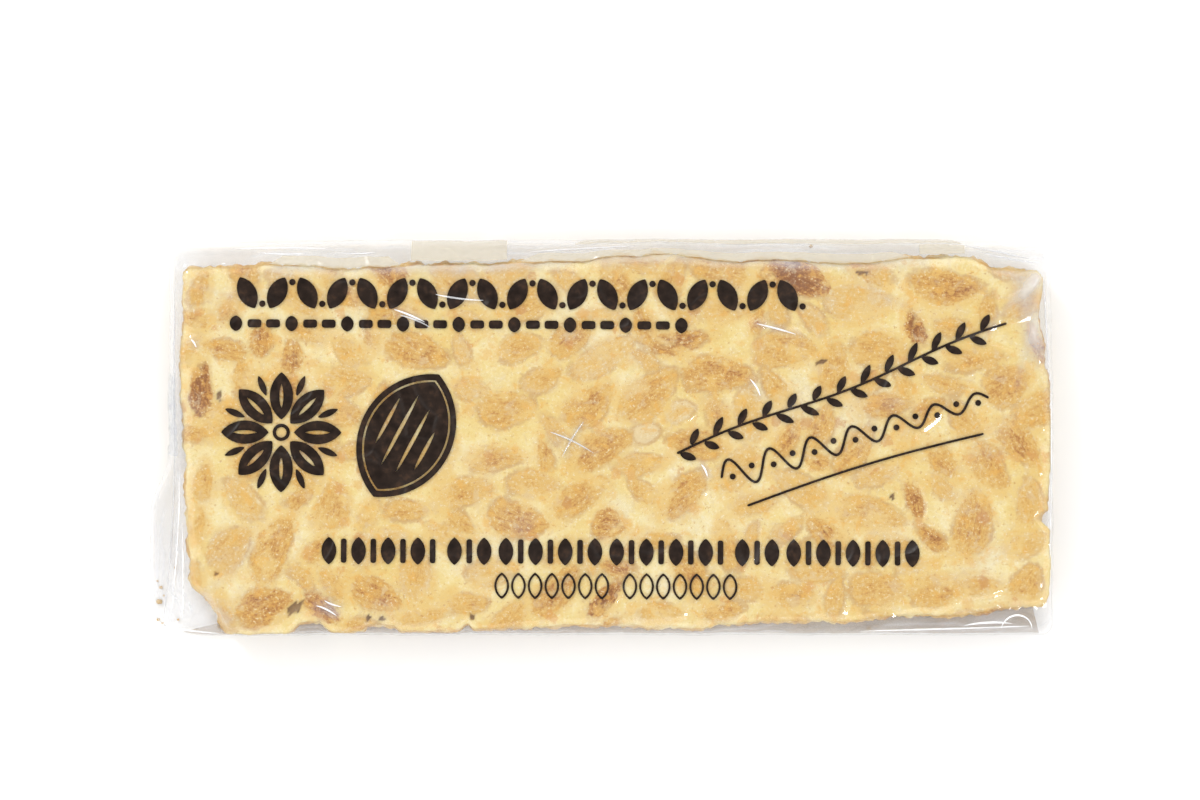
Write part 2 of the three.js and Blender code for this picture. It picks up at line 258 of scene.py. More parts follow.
# Outlines of the slab and of the film
def edge(start, end, reach, ripple_size, seed, swells=()):
    """A straight run that ripples, with swells (from, to, shoulder, size)."""
    def value(place):
        line = mixed(start, end, (place - reach[0]) / (reach[1] - reach[0]))
        for low, high, shoulder, size in swells:
            risen = smooth(place, low, low + shoulder)
            line = line + size * risen * (1 - smooth(place, high - shoulder, high))
        ragged = RAGGED_SHARE * ripple(place, RAGGED_WAVELENGTH, seed + 2)
        return line + ripple_size * (ripple(place, EDGE_WAVELENGTH, seed) + ragged)
    return value


slab_outline = {
    "left": edge(SLAB_LEFT + 1.7, SLAB_LEFT - 0.2, ACROSS, SLAB_EDGE_RIPPLE, 11,
                 [(-10, 30, 14, -0.7), (-60, -34, 6, 3.6)]),
    "right": edge(SLAB_RIGHT + 1.0, SLAB_RIGHT - 1.2, ACROSS, SLAB_EDGE_RIPPLE, 13,
                  [(-20, 24, 14, 0.9), (-25, -19.2, 2.6, -2.1), (22, 37, 6, -1.1)]),
    "front": edge(SLAB_FRONT - 1.45, SLAB_FRONT + 3.6, ALONG, SLAB_EDGE_RIPPLE, 17,
                  [(-110, -89, 5, 4.0), (-73, -61.5, 4, 2.9), (-55.5, -45.5, 2.6, 1.4),
                   (-32.6, -29.2, 1.6, 1.2), (-18, 4, 8, 0.6), (7, 29, 4, -0.7), (60, 92, 6, 0.6),
                   (84, 110, 8, 1.9)]),
    "back": edge(SLAB_BACK - 1.8, SLAB_BACK + 0.6, ALONG, SLAB_EDGE_RIPPLE, 19,
                 [(-72, -36, 14, -0.7), (-8, 28, 12, 1.5), (42, 68, 8, -1.0), (84, 120, 10, -2.9)]),
    "radii": {(-1, -1): 8.0, (1, -1): 4.0, (-1, 1): 2.5, (1, 1): 2.5},
}
film_outline = {
    "left": edge(FILM_LEFT, FILM_LEFT, ACROSS, FILM_EDGE_RIPPLE, 23,
                 [(TONGUE_FROM, TONGUE_TO, 14, -TONGUE_REACH)]),
    "right": edge(FILM_RIGHT + 0.2, FILM_RIGHT - 0.2, ACROSS, FILM_EDGE_RIPPLE, 29),
    "front": edge(FILM_FRONT, FILM_FRONT, ALONG, FILM_EDGE_RIPPLE, 31),
    "back": edge(FILM_BACK - 0.6, FILM_BACK - 0.3, ALONG, FILM_EDGE_RIPPLE, 37, [(-84, 88, 20, 0.5)]),
    "radii": {(-1, -1): 7.0, (1, -1): 2.5, (-1, 1): 3.5, (1, 1): 3.0},
}


def round_corners(x, y, radii):
    """Maps the square at each corner to a quarter disc."""
    for (side_x, side_y), radius in radii.items():
        corner_x = SLAB_LEFT if side_x < 0 else SLAB_RIGHT
        corner_y = SLAB_FRONT if side_y < 0 else SLAB_BACK
        a = 1 - (corner_x - x) * side_x / radius
        b = 1 - (corner_y - y) * side_y / radius
        inside = (a > 0) & (b > 0)
        pulled_a = a * np.sqrt(np.maximum(1 - b * b / 2, 0))
        pulled_b = b * np.sqrt(np.maximum(1 - a * a / 2, 0))
        x = np.where(inside, corner_x - (1 - pulled_a) * radius * side_x, x)
        y = np.where(inside, corner_y - (1 - pulled_b) * radius * side_y, y)
    return x, y


def place_in_outline(outline, u, v):
    """Carries points of the unit square into an outline, whose ends pull only what is near them."""
    x, y = round_corners(mixed(*ALONG, u), mixed(*ACROSS, v), outline["radii"])
    placed_y = mixed(outline["front"](x), outline["back"](x), (y - SLAB_FRONT) / SLAB_WIDTH)
    pulled_left = 1 - smooth(x, SLAB_LEFT, SLAB_LEFT + END_PULL)
    pulled_right = smooth(x, SLAB_RIGHT - END_PULL, SLAB_RIGHT)
    placed_x = x + pulled_left * (outline["left"](y) - SLAB_LEFT)
    return placed_x + pulled_right * (outline["right"](y) - SLAB_RIGHT), placed_y


# Almonds
def make_almond(x, y, length, width, turn, tone, seed):
    return {
        "x": float(x), "y": float(y), "half_length": float(length) / 2, "half_width": float(width) / 2,
        "angle": math.radians(float(turn)), "tone": float(tone), "seed": float(draw(seed)),
        "lift": float(draw_between(ALMOND_LIFTS, seed)),
    }


def rim_distance(almond, dx, dy):
    """How far an almond's rim is from its middle in the direction of dx, dy."""
    along, across = turned(dx, dy, almond["angle"])
    share = math.hypot(along / almond["half_length"], across / almond["half_width"])
    return math.hypot(dx, dy) / (share or 1)


def is_clear(candidate, almonds):
    for other in almonds:
        dx = other["x"] - candidate["x"]
        dy = other["y"] - candidate["y"]
        if max(abs(dx), abs(dy)) > ALMOND_FAR * (candidate["half_length"] + other["half_length"]):
            continue
        needed = rim_distance(candidate, dx, dy) + rim_distance(other, dx, dy)
        if math.hypot(dx, dy) <= ALMOND_CLEARANCE * needed:
            return False
    return True


def scatter_almonds(landmarks, span_x, span_y, tries, first_seed):
    """The landmark almonds, then smaller and smaller ones in the room that is left."""
    almonds = [make_almond(*row, index) for index, row in enumerate(landmarks)]
    for attempt in range(tries):
        seed = first_seed + attempt * DRAWS_PER_TRY
        largest = mixed(ALMOND_LENGTHS[1], ALMOND_LENGTHS[0], attempt / tries)
        length = mixed(ALMOND_LENGTHS[0], largest, math.sqrt(draw(seed + 2)))
        width = length * draw_between(ALMOND_SLENDERNESS, seed + 3)
        darker = ALMOND_DARKER if draw(seed + 8) > ALMOND_DARK_FROM else 0
        tone = draw_between(ALMOND_TONES, seed + 7) + darker
        candidate = make_almond(draw_between(span_x, seed), draw_between(span_y, seed + 1), length, width,
                                180 * draw(seed + 4), tone, seed + 5)
        if is_clear(candidate, almonds):
            almonds.append(candidate)
    return almonds


def almond_fields(almonds, x, y):
    """For each point, of the almond that it lies deepest in: how far inside the rim it is, in
    millimetres, the toasting, the place along and across the grain, and the dome's height."""
    count = x.size
    x, y = x.ravel(), y.ravel()
    fields = {"inside": np.full(count, FAR_OUTSIDE), "tone": np.zeros(count),
              "grain": np.zeros((count, 3)), "dome": np.zeros(count)}
    for almond in almonds:
        away = np.abs(x - almond["x"]) + np.abs(y - almond["y"])
        index = np.flatnonzero(away < ALMOND_REACH * almond["half_length"])
        along, across = turned(x[index] - almond["x"], y[index] - almond["y"], almond["angle"])
        reach = along / almond["half_length"]
        bend = ALMOND_BEND * (almond["seed"] - 0.5)
        across = across + bend * reach ** 2 * almond["half_width"]
        half_width = almond["half_width"] * np.maximum(1 - ALMOND_TAPER * reach, ALMOND_LEAST_WIDTH)
        share = np.hypot(reach, across / half_width)
        depth = (1 - share) * almond["half_width"]
        deeper = depth > fields["inside"][index]
        index, along, across, share = index[deeper], along[deeper], across[deeper], share[deeper]
        shift = np.full(len(index), GRAIN_SHIFT * almond["seed"])
        fields["inside"][index] = depth[deeper]
        fields["tone"][index] = almond["tone"]
        fields["grain"][index] = np.column_stack([along, across, shift])
        fields["dome"][index] = almond["lift"] * np.sqrt(np.maximum(1 - share ** 2, 0))
    return fields


def deeper_of(fields, others, handicap):
    """The fields, or the others' where a point lies deeper in those by more than a handicap."""
    deeper = others["inside"] - handicap > fields["inside"]
    return {key: np.where(deeper if field.ndim == 1 else deeper[:, None], others[key], field)
            for key, field in fields.items()}


top_almonds = scatter_almonds(
    LANDMARK_ALMONDS, (SLAB_LEFT + ALMOND_MARGIN, SLAB_RIGHT - ALMOND_MARGIN),
    (SLAB_FRONT + ALMOND_MARGIN, SLAB_BACK - ALMOND_MARGIN), TOP_TRIES, TOP_SEED)
film_domes = [dict(almond, half_length=almond["half_length"] * FILM_SPREAD,
                   half_width=almond["half_width"] * FILM_SPREAD) for almond in top_almonds]

# Creases of the film over the top face: a run of points, the crease's height and its milkiness, whose white
# is painted glint along the crease
FILM_CREASES = [
    ([(-47.5, 29.5), (-44, 28.4), (-40.5, 26.6)], 0.2, 0.9),
    ([(-46.2, 28.2), (-42, 27.2), (-39.4, 25.4)], 0.12, 0.6),
    ([(-38, 33.0), (-33, 31.8), (-27, 31.6)], 0.2, 0.7), ([(36, 26.2), (40, 25.4), (45, 23.8)], 0.2, 0.7),
    ([(34.5, 13.4), (36.2, 11.8), (36.8, 9.6)], 0.22, 0.95),
    ([(23.2, -6.2), (24.4, -7.4), (24.6, -9.0)], 0.2, 0.95),
    ([(-94.4, 22.6), (-93.6, 22), (-93.2, 20.8)], 0.2, 0.9),
    ([(-11.5, 1.2), (-6.8, -0.2), (-1.6, -3.6)], 0.1, 0.5),
    ([(-8.8, -4.4), (-6.8, -0.2), (-3.9, 3.6)], 0.08, 0.4), ([(-96, 36), (-88, 33), (-79, 31.5)], 0.12, 0),
    ([(102, 37.5), (93, 31), (88, 22)], 0.16, 0), ([(103, 30), (98, 24), (96, 12)], 0.14, 0),
    ([(-92, -36), (-85, -33), (-80, -24)], 0.12, 0), ([(56, 39), (62, 33.5), (70, 30.5)], 0.12, 0),
    ([(-60, 38), (-55, 30), (-53, 21)], 0.1, 0), ([(-65.5, -38.8), (-63.4, -39.2), (-61, -41)], 0.2, 0.9),
    ([(-63.6, -37.6), (-62.2, -38.6), (-59.8, -39)], 0.12, 0.7),
    ([(95, -43), (90, -42.2), (84, -43.4)], 0.1, 0.9),
]
CREASE_WIDTH = 1.0
CREASE_STEPS = 7
CREASE_RADIUS = 0.22
# How milky a crease's height makes the film, a painted glint along the crease, and the most that its top face
# gets
CREASE_GLINT_MILK = 0.8
MOST_MILK = 0.55
# Fold lines in the film's loose margins, where they are sharp: a run of points and milkiness, whose white is
# partly painted glint
MARGIN_FOLDS = [
    ([(-98.2, 37), (-98.6, 14), (-98.3, -6)], 0.45), ([(-98.4, -4), (-98.9, -24), (-101.6, -42)], 0.45),
    ([(-97.2, -8), (-97.4, -26), (-99.6, -40)], 0.9), ([(-96.6, -20), (-96.2, -32), (-96.9, -42)], 0.95),
    ([(-85, 43.6), (-74, 43.9), (-63.6, 43.6)], 0.7), ([(-79, 42.8), (-73, 41.8), (-68, 42.6)], 0.6),
    ([(-61, 42.6), (-56, 42.2), (-52, 42.7)], 0.6), ([(-16, 42.8), (-6, 43.6), (8, 44.2)], 0.6),
    ([(84, 44.4), (93, 42.6), (99, 41.2)], 0.5), ([(88, 42.6), (94, 41.0), (101, 40.2)], 0.5),
    ([(-104, -43.6), (-97, -44.6), (-88, -45.2)], 0.7), ([(60, -44.8), (80, -44.2), (99, -43.6)], 0.8),
    ([(103.6, -28), (104.3, -8), (103.8, 14)], 0.6), ([(103.4, 16), (102.8, 28), (102.2, 36)], 0.5),
]
MARGIN_RADIUS = 0.2
# The small arch that the film makes at the front, near the right end, which its strand paints white as its
# glint
ARCH_MIDDLE = (96.2, -44.6)
ARCH_RADIUS = 3.6
ARCH_TURN = (0.04 * np.pi, 0.96 * np.pi)
# Strands: their fineness, how near the side's points they are caught by it, what smooths them,
# and the shares of their radius that lift them and that their ends keep
STRAND_STEPS = 28
STRAND_SIDES = 6
STRAND_CATCH = 1.0
STRAND_SMOOTHING = 7
STRAND_LIFT = 0.3
STRAND_ENDS = 0.05
# Hazy places on the top face, partly the film's own haze and partly painted glare: a run of points, half
# width and milkiness
FILM_HAZES_AND_GLARE = [
    ([(101.5, 39.5), (98, 33), (100.8, 20)], 2.4, 0.4), ([(99, 36), (92, 38.6)], 1.8, 0.25),
    ([(-62.5, -39), (-61.5, -40.5)], 1.0, 0.2), ([(-91, -37), (-86, -42)], 1.2, 0.25),
    ([(-74, 39.8), (-30, 39.6), (-8, 41)], 1.8, 0.36),
    ([(-2, 41.6), (22, 41.8), (48, 40.6), (74, 41)], 1.8, 0.34),
]
# Fold lines that run round the wrap in its loose sides: share of the way down, height and seed
SIDE_FOLDS = [(0.3, 0.3, 81), (0.5, 0.4, 83), (0.68, 0.35, 85), (0.86, 0.3, 87)]
SIDE_FOLD_WIDTH = 0.045
# How far a fold line wanders, over what length it does, and over what length it comes and goes
SIDE_FOLD_WANDER = 0.05
WANDER_LENGTH = 37.0
SHOWN_LENGTH = 53.0
# Pleats and crinkles down the loose sides: slant, wavelength, seed and size
SOFT_PLEATS = (3, 13, 41, 0.4)
SHARP_PLEATS = (-5, 7, 43, 0.3)
CRINKLES = (9, 2.9, 47, 0.08)
SIDE_CALM = 0.75
# Milkiness of the sides: everywhere, more at the front, where it is partly painted shade of the slab, more at
# the left, on folds, where its white is partly painted glint, and at the crease
SIDE_MILK = 0.02
FRONT_MILK_AND_SHADE = 0.08
LEFT_MILK = 0.14
FOLD_MILK_AND_GLINT = 0.9
EDGE_MILK = 0.3
MOST_SIDE_MILK = 0.85
# How much the milkiness swells along the rim, and that wave's slant, wavelength and seed
MILK_SWELL = 0.5
MILK_WAVE = (20, 17, 67)
# How far pieces of film stand off the wrap's side, outwards and upwards
PATCH_PROUD = 0.16
PATCH_RAISED = 0.128
# Strips of doubled film on the back side: from, to, shares of the way down, taper and cells
BACK_STRIPS = [
    ("film_patch_back", -21.8, -44, (0.11, 0.78)),
    ("film_patch_small", 84, 73.6, (0.14, 0.5)),
    ("film_strip_back", 84, -6, (0.56, 0.84), 0.03, (160, 8)),
    ("film_rim_back", 72, -19, (0.04, 0.26), 0.05, (240, 6)),
    ("film_rim_back_left", -46, -76, (0.04, 0.26), 0.1, (80, 6)),
]
# The strip at the foot of the front side: its ends, heights, and how far it goes under the slab
FRONT_STRIP_ENDS = [(-87, -42.5), (101, SLAB_FRONT)]
FRONT_STRIP_HEIGHTS = (1.3, 1.9)
FRONT_STRIP_UNDER = 1.0
FRONT_STRIP_CLEAR = 0.08
FRONT_STRIP_ROWS = 6


def distance_to_run(x, y, run):
    nearest = np.full(x.shape, 1e9)
    for (x0, y0), (x1, y1) in zip(run, run[1:]):
        length_squared = (x1 - x0) ** 2 + (y1 - y0) ** 2
        t = np.clip(((x - x0) * (x1 - x0) + (y - y0) * (y1 - y0)) / length_squared, 0, 1)
        nearest = np.minimum(nearest, np.hypot(x - x0 - t * (x1 - x0), y - y0 - t * (y1 - y0)))
    return nearest


def bent(run, steps=STRAND_STEPS):
    """A smooth curve from the first point to the last, pulled towards the middle one."""
    t = np.linspace(0, 1, steps)[:, None]
    first, middle, last = (np.array(point, float) for point in run)
    return first * (1 - t) ** 2 + middle * 2 * t * (1 - t) + last * t ** 2


def crease_height(x, y):
    return sum(size * ridge(distance_to_run(x, y, bent(run, CREASE_STEPS)), CREASE_WIDTH)
               for run, size, _ in FILM_CREASES)


def haze_and_glare_level(x, y):
    return sum(size * ridge(distance_to_run(x, y, run), width) for run, width, size in FILM_HAZES_AND_GLARE)


def drop_at_edge(x, y, from_edge):
    """How far the top face falls towards its edge, over a width that comes and goes."""
    one_way, other_way = EDGE_ROUND_WAVES
    come_and_go = 0.5 + 0.5 * ripple(x + y, *one_way) * ripple(x - y, *other_way)
    width = mixed(*SLAB_EDGE_ROUNDS, come_and_go)
    return SLAB_EDGE_DROP * np.clip(1 - from_edge / width, 0, 1) ** 2


def drape_height(x, y):
    """The height that the film lies at over the almonds, without its creases."""
    dome = almond_fields(film_domes, x, y)["dome"].reshape(x.shape)
    low = FILM_TOP - FILM_SLACK - ALMOND_LIFTS[0]
    return low + FILM_DOMING * dome + summed_waves(SLACK_WAVES, x, y)


def film_height(x, y):
    return drape_height(x, y) + crease_height(x, y)


def pit_depth(x, y):
    depth = np.zeros(x.shape)
    for pit_x, pit_y, half_length, half_width, turn, deep in PITS:
        along, across = turned(x - pit_x, y - pit_y, math.radians(turn))
        share = np.hypot(along / half_length, across / half_width) + summed_waves(PIT_WAVES, x, y)
        depth = np.maximum(depth, deep * (1 - smooth(share, *PIT_RIM)))
    return depth


# Grids, loops and faces that the slab and the film share
def square_grid(cells_along, cells_across, inset=0.0):
    across_inset = inset * SLAB_LENGTH / SLAB_WIDTH
    return np.meshgrid(np.linspace(inset, 1 - inset, cells_along + 1),
                       np.linspace(across_inset, 1 - across_inset, cells_across + 1))


def edge_distance(u, v):
    return np.minimum(np.minimum(u, 1 - u) * SLAB_LENGTH, np.minimum(v, 1 - v) * SLAB_WIDTH)


def rim_indices(cells_along, cells_across):
    """Grid points round the rim, counter-clockwise from the front left corner."""
    columns = cells_along + 1
    front = np.arange(cells_along)
    right = cells_along + columns * np.arange(cells_across)
    back = columns * cells_across + np.arange(cells_along, 0, -1)
    left = columns * np.arange(cells_across, 0, -1)
    return np.concatenate([front, right, back, left])


def grid_faces(cells_along, cells_across, first=0, flipped=False):
    i, j = np.meshgrid(np.arange(cells_along), np.arange(cells_across))
    a = (first + j * (cells_along + 1) + i).ravel()
    faces = np.stack([a, a + 1, a + cells_along + 2, a + cells_along + 1], axis=1)
    return faces[:, ::-1] if flipped else faces


def band_faces(upper, lower):
    return np.stack([upper, lower, np.roll(lower, -1), np.roll(upper, -1)], axis=1)


def coarse_band_faces(fine, coarse):
    """Triangles between a loop and one inside it that has a BASE_SHARE-th of its points."""
    faces = []
    count = len(fine)
    half = BASE_SHARE // 2
    for k, here in enumerate(coarse):
        after = coarse[(k + 1) % len(coarse)]
        around = [fine[(BASE_SHARE * k + step) % count] for step in range(BASE_SHARE + 1)]
        faces += [(around[step], here, around[step + 1]) for step in range(half)]
        faces.append((around[half], here, after))
        faces += [(around[step], after, around[step + 1]) for step in range(half, BASE_SHARE)]
    return faces


def shell_faces(loop_count):
    """Faces of a closed shell: the top grid, rows of wall round it and the coarse base."""
    upper = rim_indices(*TOP_CELLS)
    faces = [grid_faces(*TOP_CELLS)]
    count = (TOP_CELLS[0] + 1) * (TOP_CELLS[1] + 1)
    for _ in range(loop_count):
        lower = count + np.arange(len(upper))
        faces.append(band_faces(upper, lower))
        upper = lower
        count += len(lower)
    faces.append(coarse_band_faces(upper, count + rim_indices(*BASE_CELLS)))
    faces.append(grid_faces(*BASE_CELLS, count, flipped=True))
    return [tuple(face) for part in faces for face in part]


def listed(x, y, z):
    return np.column_stack([x.ravel(), y.ravel(), z.ravel()])


def base_points(outline, height):
    x, y = place_in_outline(outline, *square_grid(*BASE_CELLS, BASE_INSET))
    return listed(x, y, np.full(x.size, height))


def joined(parts):
    """Points and faces of several meshes as those of one."""
    points, faces = [], []
    count = 0
    for more, cells in parts:
        points.append(more)
        faces += [tuple(index + count for index in cell) for cell in cells]
        count += len(more)
    return np.concatenate(points), faces


def put_in_scene(name, data):
    made = bpy.data.objects.new(name, data)
    bpy.context.scene.collection.objects.link(made)
    return made


def make_piece(name, points, faces, material, slot_name, attributes=None):
    """A smooth-shaded mesh piece from points in millimetres, riding on the part's one body."""
    mesh = bpy.data.meshes.new(name)
    mesh.from_pydata((np.asarray(points, float) * MM).tolist(), [], [list(map(int, face)) for face in faces])
    mesh.polygons.foreach_set("use_smooth", [True] * len(mesh.polygons))
    for key, values in (attributes or {}).items():
        kind, field = ("FLOAT", "value") if values.ndim == 1 else ("FLOAT_VECTOR", "vector")
        mesh.attributes.new(key, kind, "POINT").data.foreach_set(field, values.astype(np.float32).ravel())
    mesh.materials.append(material)
    piece = put_in_scene(name, mesh)
    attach(piece, BODY)
    return piece


# Node helpers
def add(tree, kind, inputs=None, **settings):
    made = tree.nodes.new(kind)
    for key, value in settings.items():
        setattr(made, key, value)
    for key, value in (inputs or {}).items():
        if isinstance(value, bpy.types.NodeSocket):
            tree.links.new(value, made.inputs[key])
        else:
            made.inputs[key].default_value = value
    return made


def calc(tree, operation, a, b=0.0):
    return add(tree, "ShaderNodeMath", {0: a, 1: b}, operation=operation).outputs[0]


def remap(tree, value, start, end, low=0.0, high=1.0, steps="SMOOTHSTEP"):
    inputs = {"Value": value, "From Min": start, "From Max": end, "To Min": low, "To Max": high}
    return add(tree, "ShaderNodeMapRange", inputs, interpolation_type=steps).outputs[0]


def spread(tree, value, amount):
    """How far a noise lies from its middle, times an amount."""
    return calc(tree, "MULTIPLY", calc(tree, "SUBTRACT", value, 0.5), amount)


def chained(tree, operation, first, others):
    for other in others:
        first = calc(tree, operation, first, other)
    return first


def total(tree, first, *others):
    return chained(tree, "ADD", first, others)


def product(tree, first, *others):
    return chained(tree, "MULTIPLY", first, others)


def attribute(tree, name, output="Fac"):
    return add(tree, "ShaderNodeAttribute", attribute_name=name).outputs[output]


def object_place(tree):
    return add(tree, "ShaderNodeTexCoord").outputs["Object"]


def noise(tree, vector, scale, detail=2.0, roughness=0.5, distortion=0.0):
    inputs = {"Vector": vector, "Scale": scale, "Detail": detail, "Roughness": roughness,
              "Distortion": distortion}
    return add(tree, "ShaderNodeTexNoise", inputs).outputs[0]


def stretch(tree, vector, scale):
    return add(tree, "ShaderNodeMapping", {"Vector": vector, "Scale": scale}).outputs[0]


def blend_colours(tree, share, first, second):
    return add(tree, "ShaderNodeMix", {0: share, 6: first, 7: second}, data_type="RGBA").outputs[2]


def ramp(tree, value, stops):
    made = add(tree, "ShaderNodeValToRGB", {"Fac": value})
    elements = made.color_ramp.elements
    while len(elements) < len(stops):
        elements.new(0.5)
    for element, (place, colour) in zip(elements, stops):
        element.position = place
        element.color = colour
    return made.outputs[0]


# How bright the studio lights a flat white sheet, which shade() divides by
STUDIO_LEVEL = 1.5

# Colours as they show in the lit picture, 0 to 255, some of them at places along a ramp
CREAM = [(0.2, (237, 208, 130)), (0.4, (242, 218, 148)), (0.55, (245, 226, 168)), (0.8, (247, 233, 190))]
CREAM_NEAR_NUT = (234, 196, 118)
NUT = [(0.05, (234, 210, 160)), (0.28, (230, 193, 124)), (0.48, (228, 186, 106)),
       (0.66, (216, 167, 90)), (0.84, (188, 131, 68)), (1.0, (148, 94, 50))]
# Brown line round the almonds: partly their own edge, partly painted shade in the groove round them
NUT_RIM_AND_GROOVE_SHADE = (200, 157, 100)
AMBER = (236, 180, 84)
PALE = (226, 200, 156)
CHIPS = [(0.0, (233, 184, 98)), (0.5, (240, 200, 116)), (0.8, (222, 160, 84)), (1.0, (196, 134, 72))]
LIGHT_FLECK = (250, 240, 206)
DARK_FLECK = (196, 142, 78)
# Grey-brown painted shade in the small gaps of the top face
HOLLOW_SHADE = (128, 94, 70)
INK = [(0.3, (24, 13, 6)), (0.55, (38, 22, 10)), (0.75, (66, 42, 22))]
MILKY_FILM = (236, 238, 242)
# Albedo of the film where a crease or fold turns it white, a painted glint, and of the floor
FILM_GLINT_WHITE = (0.92, 0.93, 0.95, 1.0)
FLOOR = [(0.3, (0.79, 0.79, 0.79, 1.0)), (0.7, (0.81, 0.81, 0.81, 1.0))]
# What the clear film lets through, and the share that it reflects seen straight on and edge-on
FILM_CLEAR = (0.993, 0.996, 1.0, 1.0)
FILM_REFLECTS = 0.05
FILM_REFLECTS_MOST = 0.55
# How the scuffs of a film stretch along each axis
SCUFFS = (0.22, 0.22, 1.6)
STREAKS = (0.03, 1.0, 1.0)
# How the grain of an almond stretches along it, across it and from one almond to the next
FIBRE_STRETCH = (0.35, 2.0, 1.0)
MOTTLE_STRETCH = (0.3, 0.5, 1.0)


def shade(red, green, blue):
    """A colour as it shows in the lit picture, 0 to 255, as the colour that a node takes."""
    scaled = [value / 255 for value in (red, green, blue)]
    linear = [value / 12.92 if value <= 0.04045 else ((value + 0.055) / 1.055) ** 2.4 for value in scaled]
    return (*(value / STUDIO_LEVEL for value in linear), 1.0)


def new_material(name):
    material = bpy.data.materials.new(name)
    material.use_nodes = True
    tree = material.node_tree
    tree.nodes.clear()
    output = tree.nodes.new("ShaderNodeOutputMaterial")
    return material, tree, output


def shaded_ramp(tree, value, stops):
    return ramp(tree, value, [(place, shade(*colour)) for place, colour in stops])


def stained(tree, colour, share, stain):
    return blend_colours(tree, share, colour, shade(*stain))


def nougat_noises(tree, place, grain):
    """The noises that the nougat's colours and relief are mixed from, from broad to fine."""
    return {
        "broad": noise(tree, place, 55, 3, 0.5),
        "patches": noise(tree, place, 120, 3, 0.6, 0.4),
        "coarse": noise(tree, place, 280, 3, 0.6, 0.3),
        "blots": noise(tree, place, 330, 3, 0.65, 0.5),
        "fine": noise(tree, place, 900, 3, 0.6),
        "flecks": noise(tree, place, 1200, 3, 0.7),
        "speckle": noise(tree, place, 1500, 3, 0.75),
        "fibres": noise(tree, stretch(tree, grain, FIBRE_STRETCH), 1.0, 4, 0.7, 0.6),
        "mottle": noise(tree, stretch(tree, grain, MOTTLE_STRETCH), 1.0, 3, 0.6),
    }


def cream_colour(tree, noises, inside):
    """The paste, warmer close to the almonds."""
    paste = total(tree, noises["broad"], spread(tree, noises["coarse"], 0.7),
                  spread(tree, noises["speckle"], 0.6))
    near = product(tree, remap(tree, inside, -2.2, -0.4),
                   remap(tree, noises["patches"], 0.38, 0.6, 0.15, 0.75))
    return stained(tree, shaded_ramp(tree, paste, CREAM), near, CREAM_NEAR_NUT)


def nut_colour(tree, noises, inside, tone):
    """The almonds, by their toasting, browner in the middle and streaked along the grain."""
    toast = total(tree, tone, remap(tree, inside, 0.2, 2.4, -0.1, 0.08),
                  spread(tree, noises["fibres"], 0.75), spread(tree, noises["mottle"], 0.6),
                  spread(tree, noises["speckle"], -0.95))
    return shaded_ramp(tree, toast, NUT)


def add_stains_and_groove_shade(tree, colour, noises, inside, ragged):
    """Amber and pale blots, and a broken brown line round the almonds, partly their own brown edge and partly
    painted shade in the groove round them.
    """
    amber = product(tree, remap(tree, noises["blots"], 0.54, 0.68),
                    remap(tree, inside, -3.0, 0.5, 0.25, 0.6))
    pale = product(tree, remap(tree, noises["blots"], 0.46, 0.32),
                   remap(tree, inside, -0.5, 1.0, 0.35, 0.5))
    # The line round the almonds: partly their own brown edge, partly painted shade in the groove
    rim_and_groove_shade = product(tree, remap(tree, ragged, -0.7, -0.1), remap(tree, ragged, 0.7, 0.1),
                       remap(tree, noises["patches"], 0.36, 0.56, 0.6, 0.0))
    colour = stained(tree, colour, amber, AMBER)
    colour = stained(tree, colour, pale, PALE)
    return stained(tree, colour, rim_and_groove_shade, NUT_RIM_AND_GROOVE_SHADE)


def add_chips_and_hollow_shade(tree, colour, noises, place):
    """Loose chips of almond, light and dark flecks, and painted shade in the small gaps of the top face."""
    cells = add(tree, "ShaderNodeTexVoronoi", {"Vector": place, "Scale": 270.0})
    chosen = add(tree, "ShaderNodeSeparateColor", {"Color": cells.outputs["Color"]})
    from_middle = total(tree, cells.outputs["Distance"], spread(tree, noises["fine"], 1.0))
    chip = product(tree, remap(tree, chosen.outputs[0], 0.72, 0.78),
                   remap(tree, from_middle, 0.5, 0.25), 0.6)
    colour = blend_colours(tree, chip, colour, shaded_ramp(tree, chosen.outputs[1], CHIPS))
    light = remap(tree, noises["speckle"], 0.58, 0.7, 0.0, 0.65)
    colour = stained(tree, colour, light, LIGHT_FLECK)
    dark = remap(tree, noises["flecks"], 0.59, 0.71, 0.0, 0.6)
    colour = stained(tree, colour, dark, DARK_FLECK)
    # Painted shade in the small gaps, by their depth
    hollow_shade = remap(tree, attribute(tree, "nougat_painted_hollow_shade"), 0.1, 0.8, 0.0, 0.8)
    return stained(tree, colour, hollow_shade, HOLLOW_SHADE)


